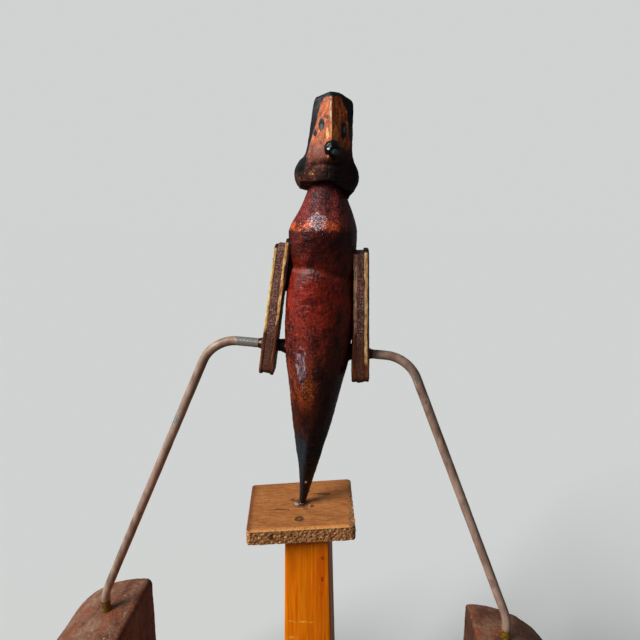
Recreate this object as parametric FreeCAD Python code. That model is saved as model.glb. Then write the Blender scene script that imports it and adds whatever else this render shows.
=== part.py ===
import FreeCAD, Part
import math
import os

# A carved wooden figure that stands on one point, balanced by two wooden weights on a bent wire.
# Millimetres, +Z up. The origin is the centre of the base's underside, straight below the pivot.
# X runs along the wire from the figure's left weight as seen from the front to the right one,
# and the figure faces -Y.

V = FreeCAD.Vector
X_AXIS = V(1, 0, 0)
Y_AXIS = V(0, 1, 0)
Z_AXIS = V(0, 0, 1)

# Stand
STAND_HEIGHT = 170.0
BASE_SIDE = 100.0
BASE_THICK = 18.0
BASE_CORNER = 4.0
BASE_EDGE = 2.0
POST_TOP = (17.9, 25.0)
POST_FOOT = (23.8, 31.0)
POST_AT_TOP = (3.2, -0.9)
POST_AT_FOOT = (3.9, -0.9)
POST_TURN = -1.4
POST_ARRIS = 0.7
PLATFORM_THICK = 6.3
PLATFORM_CORNERS = ((-20.2, -21.1), (22.7, -15.4), (21.1, 21.3), (-23.9, 13.6))
PLATFORM_CORNER_RADIUS = 2.0
PLATFORM_EDGE = 0.5
NAIL_PLACES = ((-0.2, -11.4), (0.6, 9.4))
NAIL_HEAD = (1.85, 0.7)
NAIL_SHANK = 0.8
NAIL_LENGTH = 24.0
NAIL_POINT = 3.0
NAIL_PROUD = 0.05
SCREW_PLACES = ((3.9, -8.4), (3.9, 6.6))
SCREW_HEAD_RADIUS = 4.0
SCREW_HEAD_RIM = 0.4
SCREW_HEAD_DEPTH = 2.6
SCREW_SINK = 0.6
SCREW_RADIUS = 2.0
SCREW_LENGTH = 45.0
SCREW_POINT = 4.0
SCREW_SLOT = (0.9, 1.1)
SCREW_TURNS = (35, 85)
SCREW_GAP = 0.05

# Pivot
BALL_RADIUS = 1.1
BALL_SINK = 0.05
BALL_CLEARANCE = 0.05
CUP_RADIUS = 4.3
CUP_THICK = 1.8
CUP_DISH_RADIUS = 3.6
CUP_DISH_DEPTH = 0.45
CUP_CLEARANCE = 0.08
PIN_RADIUS = 0.9
PIN_LENGTH = 24.0
PIN_LEAN = 5.5
PIN_START = 0.5

# Figure: height above the platform, centre to the right of the pivot, radius
LEG_STATIONS = (
    (0.5, 0.2, 1.15),
    (1.6, 0.35, 1.45),
    (5.6, 1.0, 1.95),
    (11.6, 1.9, 2.9),
    (18.9, 2.85, 4.2),
    (26.7, 3.55, 5.75),
    (40.0, 4.7, 8.5),
    (52.9, 5.75, 10.55),
    (65.5, 6.65, 12.6),
    (79.8, 7.35, 13.4),
    (91.7, 7.75, 12.85),
    (100.6, 8.5, 11.85),
)
CHEST_STATIONS = ((100.6, 8.5, 11.85), (106.0, 8.6, 12.5), (114.3, 8.7, 12.9))
NECK_STATIONS = (
    (114.3, 8.7, 12.9),
    (117.1, 9.0, 12.1),
    (122.4, 9.65, 9.7),
    (126.1, 9.8, 8.1),
    (133.5, 10.1, 5.8),
)

# Head: height up its own axis, how far the ridge stands forward, half width and forward reach of
# the front corners, half width and forward reach of the sides, how far the back stands behind
HEAD_AT = (10.0, 128.0)
HEAD_LEAN = 4.7
HEAD_TURN = 4.0
HEAD_SLICES = (
    (-3.0, 8.2, 7.2, 5.6, 7.8, -2.0, 8.2),
    (2.0, 9.0, 8.8, 6.0, 10.2, -2.0, 9.3),
    (4.2, 10.1, 10.0, 6.0, 11.7, -2.0, 9.9),
    (6.6, 10.6, 10.6, 6.0, 12.2, -2.0, 10.3),
    (8.8, 11.1, 10.3, 6.2, 11.9, -2.0, 10.3),
    (11.0, 11.7, 9.3, 6.3, 10.8, -2.1, 9.9),
    (13.5, 12.0, 8.3, 6.0, 9.1, -2.3, 9.6),
    (16.8, 11.2, 7.6, 5.4, 8.4, -1.2, 9.4),
    (26.0, 7.4, 5.7, 3.4, 7.6, 1.0, 8.7),
    (31.6, 5.2, 4.7, 2.4, 7.1, 1.2, 7.8),
    (33.4, 4.6, 4.3, 2.6, 6.3, 0.6, 6.6),
    (34.6, 4.0, 3.0, 2.8, 4.3, -0.6, 4.8),
    (35.2, 3.2, 1.4, 2.4, 2.0, -1.4, 2.8),
)
HEAD_BACK_CHAMFER = 3.0
HEAD_CHAMFER_SHARE = 0.6
RIDGE_LEAN = -0.07
RIDGE_BEND = 15.5
JOWL_SHIFT = -0.3
JOWL_TOP = 12.0
JOINT_SPACE = 45.0
CHIN_SLOPE = 20.0
CHIN_TILT = 7.0
CHIN_HEIGHT = 0.25
NOSE_AT = (0.5, -11.2, 14.9)
NOSE_RADII = (2.9, 2.5, 2.85)
NOSE_PEG = (1.1, 7.0)
DOWEL_AT = (9.0, 128.0)
DOWEL_RADIUS = 3.0
DOWEL_REACH = (-12.0, 12.0)
GLUE_GAP = 0.03

# Arms: depth, then for each side its centre at the wire, its lean, and how far its outer and inner
# faces stand from its middle, as (height above its foot, reach) points
ARM_DEPTH = 10.5
ARM_TOP_ROUND = 4.0
LEFT_ARM = {
    "sign": -1,
    "outer": ((0.0, 2.9), (54.0, 2.6)),
    "inner": ((0.0, 2.9), (31.0, 2.75), (39.0, 3.55), (54.0, 3.45)),
    "centre": -12.1,
    "foot": 58.0,
    "lean": 8.1,
}
RIGHT_ARM = {
    "sign": 1,
    "outer": ((0.0, 3.15), (52.8, 2.85)),
    "inner": ((0.0, 3.6), (52.8, 2.85)),
    "centre": 24.0,
    "foot": 55.1,
    "lean": -0.9,
}
ARM_NOTCH = (1.5, 1.3)

# Wire: corners of its route to the right of the pivot and above the platform
WIRE_RADIUS = 1.88
WIRE_BEND = 15.0
WIRE_FOOT_BEND = 20.0
WIRE_CORNERS = ((-90.2, -76.0), (-90.2, -48.3), (-35.5, 71.9), (43.1, 64.9), (90.1, -53.7), (90.1, -82.0))
COLLAR_RADIUS = 2.6
LEFT_COLLAR = (-11.0, -4.0)
RIGHT_COLLAR = (17.0, 22.5)

# Weights
WEIGHT_ARCH = 44.0
WEIGHT_EDGE = 1.0
LEFT_WEIGHT = {
    "inner": -76.3,
    "crown": 3.4,
    "corner": 3.0,
    "top": -55.1,
    "height": 60.0,
    "depth": 40.0,
    "back": -0.042,
}
RIGHT_WEIGHT = {
    "inner": 76.6,
    "crown": 2.4,
    "corner": 2.0,
    "top": -61.7,
    "height": 63.79,
    "depth": 36.0,
    "back": -0.042,
}

PIVOT = V(0, 0, STAND_HEIGHT - BALL_SINK)


def above(x, height, y=0.0):
    """A point given to the right of the pivot and above the platform."""
    return V(x, y, STAND_HEIGHT + height)


def turned(points):
    """A solid of revolution about Z from an outline of (radius, height) points."""
    corners = [V(radius, 0, height) for radius, height in points]
    outline = Part.makePolygon(corners + [corners[0]])
    return Part.Face(outline).revolve(V(0, 0, 0), Z_AXIS, 360)


def ring(x, height, radius):
    """A level circle round the figure's centre line."""
    return Part.Wire(Part.Circle(above(x, height), Z_AXIS, radius).toShape())


def rounded(shape, radius, wanted):
    """Rounds the edges that the test picks."""
    return shape.makeFillet(radius, [edge for edge in shape.Edges if wanted(edge)])


def is_upright(edge):
    """True for an edge that runs along Z."""
    box = edge.BoundBox
    return box.ZLength > 1.0 and box.XLength < 0.01 and box.YLength < 0.01


def chamfered_rectangle(size, centre, z, corner):
    """A level rectangle with cut corners, as a closed wire."""
    half_x = size[0] / 2
    half_y = size[1] / 2
    points = []
    for sx, sy, first_x in ((1, -1, True), (1, 1, False), (-1, 1, True), (-1, -1, False)):
        along_x = V(sx * (half_x - corner), sy * half_y, 0)
        along_y = V(sx * half_x, sy * (half_y - corner), 0)
        points += [along_x, along_y] if first_x else [along_y, along_x]
    points = [p + V(centre[0], centre[1], z) for p in points]
    return Part.makePolygon(points + [points[0]])


def screw_outline(gap, low):
    """Outline of a countersunk screw, or of its hole when there is a gap."""
    head = SCREW_HEAD_RADIUS + gap
    shank = SCREW_RADIUS + gap
    tip = SCREW_SINK + SCREW_LENGTH + gap
    return (
        (0, low),
        (head, low),
        (head, SCREW_SINK + SCREW_HEAD_RIM),
        (shank, SCREW_SINK + SCREW_HEAD_DEPTH),
        (shank, tip - SCREW_POINT),
        (0, tip),
    )


def screws():
    """Two countersunk screws that hold the post from below, heads down."""
    slot_width, slot_depth = SCREW_SLOT
    slot_length = 2 * SCREW_HEAD_RADIUS + 1
    slot = Part.makeBox(slot_length, slot_width, slot_depth)
    slot.translate(V(-slot_length / 2, -slot_width / 2, SCREW_SINK - 0.01))
    solids = []
    for (x, y), turn in zip(SCREW_PLACES, SCREW_TURNS):
        screw = turned(screw_outline(0, SCREW_SINK)).cut(slot)
        screw.rotate(V(0, 0, 0), Z_AXIS, turn)
        screw.translate(V(x, y, 0))
        solids.append(screw)
    return solids


def screw_holes():
    """Holes for the screws, with the countersinks open at the underside."""
    solids = []
    for x, y in SCREW_PLACES:
        hole = turned(screw_outline(SCREW_GAP, -1))
        hole.translate(V(x, y, 0))
        solids.append(hole)
    return solids


def base_block():
    """Square block under the post."""
    half = BASE_SIDE / 2
    block = Part.makeBox(BASE_SIDE, BASE_SIDE, BASE_THICK, V(-half, -half, 0))
    block = rounded(block, BASE_CORNER, is_upright)
    block = rounded(block, BASE_EDGE, lambda edge: edge.BoundBox.ZMin > BASE_THICK - 0.01)
    return block.cut(screw_holes())


def post(nails):
    """Tapered square post, wider at its foot."""
    top = STAND_HEIGHT - PLATFORM_THICK
    lower = chamfered_rectangle(POST_FOOT, POST_AT_FOOT, BASE_THICK, POST_ARRIS)
    upper = chamfered_rectangle(POST_TOP, POST_AT_TOP, top, POST_ARRIS)
    solid = Part.makeLoft([lower, upper], True, True)
    solid.rotate(V(POST_AT_FOOT[0], POST_AT_FOOT[1], 0), Z_AXIS, POST_TURN)
    return solid.cut(screw_holes() + nails)


def platform_nails():
    """Two nails through the platform into the post, heads flush with its top."""
    head_radius, head_thick = NAIL_HEAD
    outline = (
        (0, NAIL_PROUD),
        (head_radius, NAIL_PROUD),
        (NAIL_SHANK, -head_thick),
        (NAIL_SHANK, NAIL_POINT - NAIL_LENGTH),
        (0, -NAIL_LENGTH),
    )
    solids = []
    for x, y in NAIL_PLACES:
        nail = turned(outline)
        nail.translate(above(x, 0, y))
        solids.append(nail)
    return solids


def platform(nails):
    """Hand-sawn wooden top with a recess for the pivot cup."""
    corners = [above(x, -PLATFORM_THICK, y) for x, y in PLATFORM_CORNERS]
    outline = Part.makePolygon(corners + [corners[0]])
    board = Part.Face(outline).extrude(V(0, 0, PLATFORM_THICK))
    board = rounded(board, PLATFORM_CORNER_RADIUS, is_upright)
    top = STAND_HEIGHT
    board = rounded(board, PLATFORM_EDGE, lambda edge: edge.BoundBox.ZMin > top - 0.01)
    depth = CUP_THICK + CUP_CLEARANCE
    recess = Part.makeCylinder(CUP_RADIUS + CUP_CLEARANCE, depth + 1, above(0, -depth))
    return board.cut([recess] + nails)


def pivot_room():
    """The ball's room: a little larger than the ball all round."""
    return Part.makeSphere(BALL_RADIUS + BALL_CLEARANCE, PIVOT)


def pivot_cup():
    """Loose dished disc that the foot turns in."""
    dish_bottom = -CUP_DISH_DEPTH
    outline = (
        (0, -CUP_THICK),
        (CUP_RADIUS, -CUP_THICK),
        (CUP_RADIUS, 0),
        (CUP_DISH_RADIUS, 0),
        (BALL_RADIUS, dish_bottom),
        (0, dish_bottom),
    )
    cup = turned(outline)
    cup.translate(above(0, 0))
    return cup.cut(pivot_room())


def pivot_ball():
    """Hard rounded tip under the foot pin, centred on the pivot."""
    return Part.makeSphere(BALL_RADIUS, PIVOT)


def foot_pin():
    """Steel pin up the inside of the foot, hollowed below to seat on the ball."""
    lean = math.radians(PIN_LEAN)
    direction = V(math.sin(lean), 0, math.cos(lean))
    pin = Part.makeCylinder(PIN_RADIUS, PIN_LENGTH, PIVOT + direction * PIN_START, direction)
    return pin.cut(pivot_room())


def neck_dowel():
    """Dowel that pins the head on the neck."""
    low, high = DOWEL_REACH
    x, height = DOWEL_AT
    dowel = Part.makeCylinder(DOWEL_RADIUS, high - low, above(x, height + low))
    dowel.rotate(above(x, height), Y_AXIS, HEAD_LEAN / 2)
    return dowel


def figure_body(others):
    """Carved body: a pointed leg, a waist groove, a chest and a sloping neck."""
    leg = Part.makeLoft([ring(x, h, r) for h, x, r in LEG_STATIONS], True, False)
    chest = Part.makeLoft([ring(x, h, r) for h, x, r in CHEST_STATIONS], True, False)
    neck = Part.makeLoft([ring(x, h, r) for h, x, r in NECK_STATIONS], True, True)
    solid = leg.fuse([chest, neck])
    return solid.cut(others)


def head_slice(height, ridge, front, front_reach, half, side_reach, back):
    """One level outline of the head on its own axis, with a ridge in front that leans higher up."""
    chamfer = min(HEAD_BACK_CHAMFER, half * HEAD_CHAMFER_SHARE)
    ridge_x = RIDGE_LEAN * max(height - RIDGE_BEND, 0)
    shift = V(JOWL_SHIFT if height < JOWL_TOP else 0, 0, 0)
    points = [
        V(ridge_x, -ridge, height),
        V(front, -front_reach, height),
        V(half, -side_reach, height),
        V(half, back - chamfer, height),
        V(half - chamfer, back, height),
        V(chamfer - half, back, height),
        V(-half, back - chamfer, height),
        V(-half, -side_reach, height),
        V(-front, -front_reach, height),
    ]
    points = [p + shift for p in points]
    return Part.makePolygon(points + [points[0]])


def place_on_neck(shape):
    """Moves a shape from the head's own axis to its place on the neck."""
    shape.rotate(V(0, 0, 0), Z_AXIS, HEAD_TURN)
    shape.rotate(V(0, 0, 0), Y_AXIS, HEAD_LEAN)
    shape.translate(above(*HEAD_AT))
    return shape


def above_neck_joint():
    """All the space above the joint of head and neck, which slopes in front and is lower on the right."""
    size = 2 * JOINT_SPACE
    level = Part.makeBox(size, size, JOINT_SPACE, V(-JOINT_SPACE, -JOINT_SPACE, 0))
    sloping = level.copy()
    sloping.rotate(V(0, 0, 0), X_AXIS, -CHIN_SLOPE)
    space = level.common(sloping)
    space.rotate(V(0, 0, 0), Y_AXIS, CHIN_TILT)
    space.translate(V(0, 0, CHIN_HEIGHT))
    return place_on_neck(space)


def head_block():
    """Carved head: two flat faces meet in a ridge above the nose, and the jowls flare below."""
    solid = Part.makeLoft([head_slice(*row) for row in HEAD_SLICES], True, True)
    return place_on_neck(solid).common(above_neck_joint())


def nose():
    """Round black nose with a peg that goes into the muzzle."""
    stretch = FreeCAD.Matrix()
    stretch.scale(*NOSE_RADII)
    ball = Part.makeSphere(1.0).transformGeometry(stretch)
    peg_radius, peg_length = NOSE_PEG
    peg = Part.makeCylinder(peg_radius, peg_length, V(0, 0, 0), Y_AXIS)
    solid = ball.fuse(peg)
    solid.translate(V(*NOSE_AT))
    return place_on_neck(solid)


def arm(side):
    """Flat plywood arm, rounded at the shoulder, thicker below and notched at its lower end."""
    sign = side["sign"]
    length = side["outer"][-1][0]
    corners = [V(sign * reach, -ARM_DEPTH / 2, height) for height, reach in side["outer"]]
    corners += [V(-sign * reach, -ARM_DEPTH / 2, height) for height, reach in reversed(side["inner"])]
    outline = Part.makePolygon(corners + [corners[0]])
    board = Part.Face(outline).extrude(V(0, ARM_DEPTH, 0))
    board = rounded(
        board,
        ARM_TOP_ROUND,
        lambda edge: edge.BoundBox.ZMin > length - 0.01 and edge.BoundBox.YLength < 0.01,
    )
    notch_width, notch_depth = ARM_NOTCH
    notch = Part.makeBox(notch_width, ARM_DEPTH + 2, 2 * notch_depth)
    notch.translate(V(-notch_width / 2, -ARM_DEPTH / 2 - 1, -notch_depth))
    board = board.cut(notch)
    wire_height = wire_height_at(side["centre"])
    board.translate(V(side["centre"], 0, STAND_HEIGHT + side["foot"]))
    board.rotate(above(side["centre"], wire_height), Y_AXIS, side["lean"])
    return board


def wire_height_at(x):
    """Height of the wire's straight middle above the platform."""
    (x0, z0), (x1, z1) = WIRE_CORNERS[2:4]
    return z0 + (z1 - z0) * (x - x0) / (x1 - x0)


def bent_route(corners, radii):
    """Straight runs between the corners, joined by tangent arcs."""
    points = [above(x, z) for x, z in corners]
    edges = []
    start = points[0]
    for before, corner, after, radius in zip(points, points[1:], points[2:], radii):
        back = (before - corner).normalize()
        ahead = (after - corner).normalize()
        half_turn = (math.pi - back.getAngle(ahead)) / 2
        setback = radius * math.tan(half_turn)
        enter = corner + back * setback
        leave = corner + ahead * setback
        inward = (back + ahead).normalize()
        middle = corner + inward * (radius / math.cos(half_turn) - radius)
        edges.append(Part.LineSegment(start, enter).toShape())
        edges.append(Part.Arc(enter, middle, leave).toShape())
        start = leave
    edges.append(Part.LineSegment(start, points[-1]).toShape())
    return Part.Wire(edges)


def wire_solid(radius):
    """The bent wire, or its bore when the radius is larger."""
    radii = (WIRE_FOOT_BEND, WIRE_BEND, WIRE_BEND, WIRE_FOOT_BEND)
    route = bent_route(WIRE_CORNERS, radii)
    start = above(*WIRE_CORNERS[0])
    section = Part.Wire(Part.Circle(start, Z_AXIS, radius).toShape())
    return route.makePipeShell([section], True, False)


def collar(reach, others):
    """Short black sleeve on the wire between the body and an arm."""
    start, end = [above(x, wire_height_at(x)) for x in reach]
    sleeve = Part.makeCylinder(COLLAR_RADIUS, (end - start).Length, start, end - start)
    return sleeve.cut(others)


def is_inner_top(edge, inner, top):
    """True for a weight's edge between its inner face and its top."""
    box = edge.BoundBox
    return box.ZMin > STAND_HEIGHT + top - 0.01 and abs(box.Center.x - inner) < 0.01


def weight(side, sign, others):
    """Wooden weight with a flat inner face, an arched top and a flat underside."""
    inner = side["inner"]
    top = side["top"]
    low = top - side["height"]
    middle = inner + sign * side["crown"]
    outer = middle + sign * WEIGHT_ARCH
    slope = math.sqrt(0.5) * WEIGHT_ARCH
    crown = above(middle, top)
    on_arch = above(middle + sign * slope, top - WEIGHT_ARCH + slope)
    spring = above(outer, top - WEIGHT_ARCH)
    edges = [
        Part.Arc(crown, on_arch, spring).toShape(),
        Part.LineSegment(spring, above(outer, low)).toShape(),
        Part.LineSegment(above(outer, low), above(inner, low)).toShape(),
        Part.LineSegment(above(inner, low), above(inner, top)).toShape(),
        Part.LineSegment(above(inner, top), crown).toShape(),
    ]
    block = Part.Face(Part.Wire(edges)).extrude(V(0, side["depth"], 0))
    block.translate(V(0, side["back"] - side["depth"] / 2, 0))
    block = rounded(block, side["corner"], lambda edge: is_inner_top(edge, inner, top))
    block = rounded(block, WEIGHT_EDGE, lambda edge: True)
    return block.cut(others)


def export(name, solids):
    """Writes one sub-part, as a single solid or as a group of separate ones."""
    shape = solids[0] if len(solids) == 1 else Part.makeCompound(solids)
    shape.exportStep("parts/" + name + ".step")
    print(name, round(shape.Volume, 1), "mm3", "valid" if shape.isValid() else "NOT VALID")


def main():
    os.makedirs("parts", exist_ok=True)

    nails = platform_nails()
    export("base_block", [base_block()])
    export("base_screws", screws())
    export("post", [post(nails)])
    export("platform", [platform(nails)])
    export("platform_nails", nails)
    export("pivot_cup", [pivot_cup()])
    export("pivot_ball", [pivot_ball()])

    pin = foot_pin()
    dowel = neck_dowel()
    nose_solid = nose()
    wire = wire_solid(WIRE_RADIUS)
    bore = wire_solid(WIRE_RADIUS + GLUE_GAP)
    head = head_block()
    left_arm = arm(LEFT_ARM)
    right_arm = arm(RIGHT_ARM)
    body = figure_body([pivot_room(), pin, dowel, bore, above_neck_joint(), left_arm, right_arm])
    export("foot_pin", [pin])
    export("figure_body", [body])
    export("neck_dowel", [dowel])
    export("head", [head.cut([dowel, nose_solid])])
    export("nose", [nose_solid])
    export("left_arm", [left_arm.cut(bore)])
    export("right_arm", [right_arm.cut(bore)])
    export("left_collar", [collar(LEFT_COLLAR, [bore, body, left_arm])])
    export("right_collar", [collar(RIGHT_COLLAR, [bore, body, right_arm])])
    export("balance_wire", [wire])
    export("left_weight", [weight(LEFT_WEIGHT, -1, [bore])])
    export("right_weight", [weight(RIGHT_WEIGHT, 1, [bore])])


main()
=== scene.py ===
import math

import bmesh
import bpy
from mathutils import Matrix, Vector, noise


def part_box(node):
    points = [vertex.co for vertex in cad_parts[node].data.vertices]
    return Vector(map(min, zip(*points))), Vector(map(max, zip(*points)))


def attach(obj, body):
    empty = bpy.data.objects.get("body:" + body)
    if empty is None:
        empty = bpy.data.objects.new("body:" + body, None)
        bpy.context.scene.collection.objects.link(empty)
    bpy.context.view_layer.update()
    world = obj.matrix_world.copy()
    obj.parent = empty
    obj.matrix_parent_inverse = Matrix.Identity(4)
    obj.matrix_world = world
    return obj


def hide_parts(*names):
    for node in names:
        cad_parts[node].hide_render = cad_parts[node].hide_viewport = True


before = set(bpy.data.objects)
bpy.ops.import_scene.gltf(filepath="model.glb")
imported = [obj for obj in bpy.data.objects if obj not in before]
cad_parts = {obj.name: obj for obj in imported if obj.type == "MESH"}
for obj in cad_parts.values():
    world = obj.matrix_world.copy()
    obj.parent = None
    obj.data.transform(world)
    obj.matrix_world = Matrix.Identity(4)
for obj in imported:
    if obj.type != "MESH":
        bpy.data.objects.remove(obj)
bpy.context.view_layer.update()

# Sizes are millimetres from the platform's top, straight under the pivot. X runs along the wire
# to the figure's side that is on the right in a front view, and the figure faces -Y.
MM = 0.001
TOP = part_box("platform")[1].z / MM
FLOOR = -TOP

# Camera, in metres and degrees in the frame
CAMERA_PLACE = (0.0163, -0.1895, 0.2877)
CAMERA_DOWN = 11.3
CAMERA_TURN = 2.6
CAMERA_LENS = 27.5625
CAMERA_SENSOR = 36.0

# Light, in metres and linear colour
KEY = {"watts": 3.2, "angle": 30.0, "aim": (0.68, 0.44, -0.58)}
SIDE = {"watts": 0.45, "angle": 40.0, "aim": (0.95, 0.12, -0.25)}
WORLD_SENT = (0.1, 0.104, 0.108, 1.0)
WORLD_SEEN = (0.63, 0.65, 0.64, 1.0)
FLOOR_SENT = (0.11, 0.102, 0.094, 1.0)
FLOOR_SEEN = (0.865, 0.885, 0.865, 1.0)
MIRRORED_SHARE = 0.04
FLOOR_REACH = 40.0

# Stand. Each scuff is a (centre, radii) pair on the post's front. The platform's slopes and places are
# those of the lines that its finish and its wear follow
POST_KNOTS = ((9.6, -16.0), (9.6, -25.5))
POST_SCUFFS = (((0.2, -46.0), (5.4, 0.45)), ((-2.7, -53.7), (1.8, 0.6)))
BASE_SIDE = 100.0
BASE_THICK = 18.0
POST_TOP = (17.9, 25.0)
POST_FOOT = (23.8, 31.0)
POST_AT_TOP = (3.2, -0.9)
POST_AT_FOOT = (3.9, -0.9)
POST_TURN = -1.4
PLATFORM_THICK = 6.3
NAIL_PLACES = ((-0.2, -11.4), (0.6, 9.4))
PLATFORM_FRONT_SLOPE = 0.133
PLATFORM_FRONT_AT = 18.4
PLATFORM_RIGHT_SLOPE = 0.0436
PLATFORM_RIGHT_AT = 22.03
PLATFORM_LEFT_SLOPE = -0.1066
PLATFORM_LEFT_AT = 21.1
# The worn strip along the right edge: its width in the middle, how much narrower it gets with each
# millimetre to the back, and its depth
WEAR_REACH = 2.6
WEAR_NARROWING = 0.04
WEAR_DEPTH = 0.45
PLATFORM_CORNERS = ((-20.2, -21.1), (22.7, -15.4), (21.1, 21.3), (-23.9, 13.6))
CUP_HOLE = 3.6
CUP_HOLE_DEPTH = 1.9
CUP_REACH = 4.4

# Body: height, centre to the right of the pivot, radius
LEG = (
    (0.5, 0.2, 1.15),
    (1.6, 0.35, 1.45),
    (5.6, 1.0, 1.95),
    (11.6, 1.9, 2.9),
    (18.9, 2.85, 4.2),
    (26.7, 3.55, 5.75),
    (40.0, 4.7, 8.5),
    (52.9, 5.75, 10.55),
    (65.5, 6.65, 12.6),
    (79.8, 7.35, 13.4),
    (91.7, 7.75, 12.85),
    (96.6, 8.15, 12.45),
    (99.0, 8.4, 12.1),
    (100.6, 8.5, 11.85),
)
CHEST = (
    (100.6, 8.5, 11.85), (102.0, 8.5, 11.95), (106.0, 8.6, 12.5), (110.0, 8.7, 12.8), (114.3, 8.7, 12.9),
)
NECK = (
    (114.3, 8.7, 12.9), (117.1, 9.0, 12.1), (122.4, 9.65, 9.7), (126.1, 9.8, 8.1), (133.5, 10.1, 5.8),
)
BODY_TOP = 134.0
BODY_STEP = 0.45
LEG_LEAN = 0.13
WAIST = 100.6
SHOULDER = 114.3
FRONT_GROOVE = 0.7
GROOVE_SLANT = 0.33
GROOVE_LEVEL_TO = 6.0
BALL_ROOM = 1.15
BALL_DROP = 0.05

# Head, on its own axis: height, how far the ridge stands forward, half width and forward reach of
# the front corners, half width and forward reach of the sides, how far the back stands behind
HEAD_AT = (10.0, 0.0, 128.0)
HEAD_LEAN = 4.7
HEAD_TURN = 4.0
HEAD_ROWS = (
    (-3.0, 8.2, 7.2, 5.6, 7.8, -2.0, 8.2),
    (0.0, 8.4, 7.8, 5.8, 8.6, -2.0, 8.7),
    (2.0, 9.0, 8.8, 6.0, 10.2, -2.0, 9.3),
    (4.2, 10.1, 10.0, 6.0, 11.7, -2.0, 9.9),
    (6.6, 10.6, 10.6, 6.0, 12.2, -2.0, 10.3),
    (8.8, 11.1, 10.3, 6.2, 11.9, -2.0, 10.3),
    (11.0, 11.7, 9.3, 6.3, 10.8, -2.1, 9.9),
    (13.5, 12.0, 8.3, 6.0, 9.1, -2.3, 9.6),
    (16.8, 11.2, 7.6, 5.4, 8.4, -1.2, 9.4),
    (20.0, 9.8, 6.9, 4.7, 8.05, 0.0, 9.2),
    (26.0, 7.4, 5.7, 3.4, 7.6, 1.0, 8.7),
    (31.6, 5.2, 4.7, 2.4, 7.1, 1.2, 7.8),
    (33.4, 4.6, 4.3, 2.6, 6.3, 0.6, 6.6),
    (34.6, 4.0, 3.0, 2.8, 4.3, -0.6, 4.8),
    (35.2, 3.2, 1.4, 2.4, 2.0, -1.4, 2.8),
)
# How many points the outline has along each of its sides, from the ridge to the right and round
HEAD_COUNTS = (33, 12, 20, 10, 18, 10, 20, 12, 33, 2)
HEAD_RINGS = 120
# Chin: its edge's slope in degrees, height, tilt, drop on the right, and arch. Muzzle: how far to each
# side of the ridge it is worn round, and up to which height
CHIN_SLOPE = 20.0
CHIN_HEIGHT = 0.6
CHIN_TILT = -0.085
CHIN_DROP = 0.7
CHIN_ARCH = 1.5
MUZZLE_ROUND = 3.2
MUZZLE_TOP = 13.0
RIDGE_WIDTH = 0.6
RIDGE_LEAN = -0.07
RIDGE_BEND = 15.5
JOWL_SHIFT = 0.3
RIGHT_JOWL = 0.8
# Edges of the black paint on the front faces, as lines between two (across, height) points
PAINT_EDGES = (
    ((-7.9, 15.0), (-7.07, 24.2)),
    ((-7.07, 24.2), (-5.55, 29.7)),
    ((-5.55, 29.7), (-3.4, 33.0)),
    ((1.4, 34.9), (4.7, 29.5)),
    ((4.7, 29.5), (6.58, 23.6)),
    ((6.58, 23.6), (7.3, 19.0)),
)
NOSE_AT = (0.5, -11.2, 14.9)
NOSE_RADII = (2.9, 2.5, 2.85)

# Arms. Top and bottom give how far the outer and inner faces stand from the middle, and swell how
# much nearer the body the upper part of the inner face comes. Each ply, from the outside in: its
# share of the thickness, and how far its top and its foot stand above the arm's own
ARM_DEPTH = 10.5
PLY_GAP = 0.04
LEFT_ARM = {
    "sign": -1,
    "top": (2.6, 2.6),
    "bottom": (2.9, 2.9),
    "swell": 0.85,
    "centre": -12.1,
    "foot": 58.0,
    "length": 54.0,
    "lean": 8.1,
    "plies": ((0.24, -2.3, -0.2), (0.52, -1.7, 0.3), (0.24, 0.3, -0.1)),
}
RIGHT_ARM = {
    "sign": 1,
    "top": (2.85, 3.05),
    "bottom": (3.15, 3.8),
    "swell": 0.0,
    "centre": 24.0,
    "foot": 55.1,
    "length": 52.8,
    "lean": -0.9,
    "plies": ((0.31, 0.1, 0.2), (0.41, -0.7, -0.2), (0.28, -0.5, 0.1)),
}

# Wire
WIRE_RADIUS = 1.88
WIRE_BEND = 15.0
WIRE_FOOT_BEND = 20.0
WIRE_CORNERS = ((-90.2, -76.0), (-90.2, -48.3), (-35.5, 71.9), (43.1, 64.9), (90.1, -53.7), (90.1, -82.0))
COLLAR_RADIUS = 2.6

# Weights
WEIGHT_ARCH = 44.0
LEFT_WEIGHT = {
    "sign": -1,
    "inner": -76.3,
    "crown": 3.4,
    "corner": 3.0,
    "top": -55.1,
    "height": 60.0,
    "depth": 40.0,
    "glue": 6.4,
}
RIGHT_WEIGHT = {
    "sign": 1,
    "inner": 76.6,
    "crown": 2.4,
    "corner": 2.0,
    "top": -61.7,
    "height": 63.85,
    "depth": 36.0,
    "glue": 5.2,
}


def eased(value):
    """A soft step from 0 to 1."""
    value = min(max(value, 0.0), 1.0)
    return value * value * (3.0 - 2.0 * value)


def lerp(a, b, share):
    """A number between two others."""
    return a + (b - a) * share


def lumps(point, size, seed=0.0, octaves=3):
    """Soft noise, about -1 to 1, whose lumps are about this many millimetres wide."""
    return noise.fractal(Vector(point) / size + Vector((seed, 1.7 * seed, -seed)), 0.7, 2.0, octaves)


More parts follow.
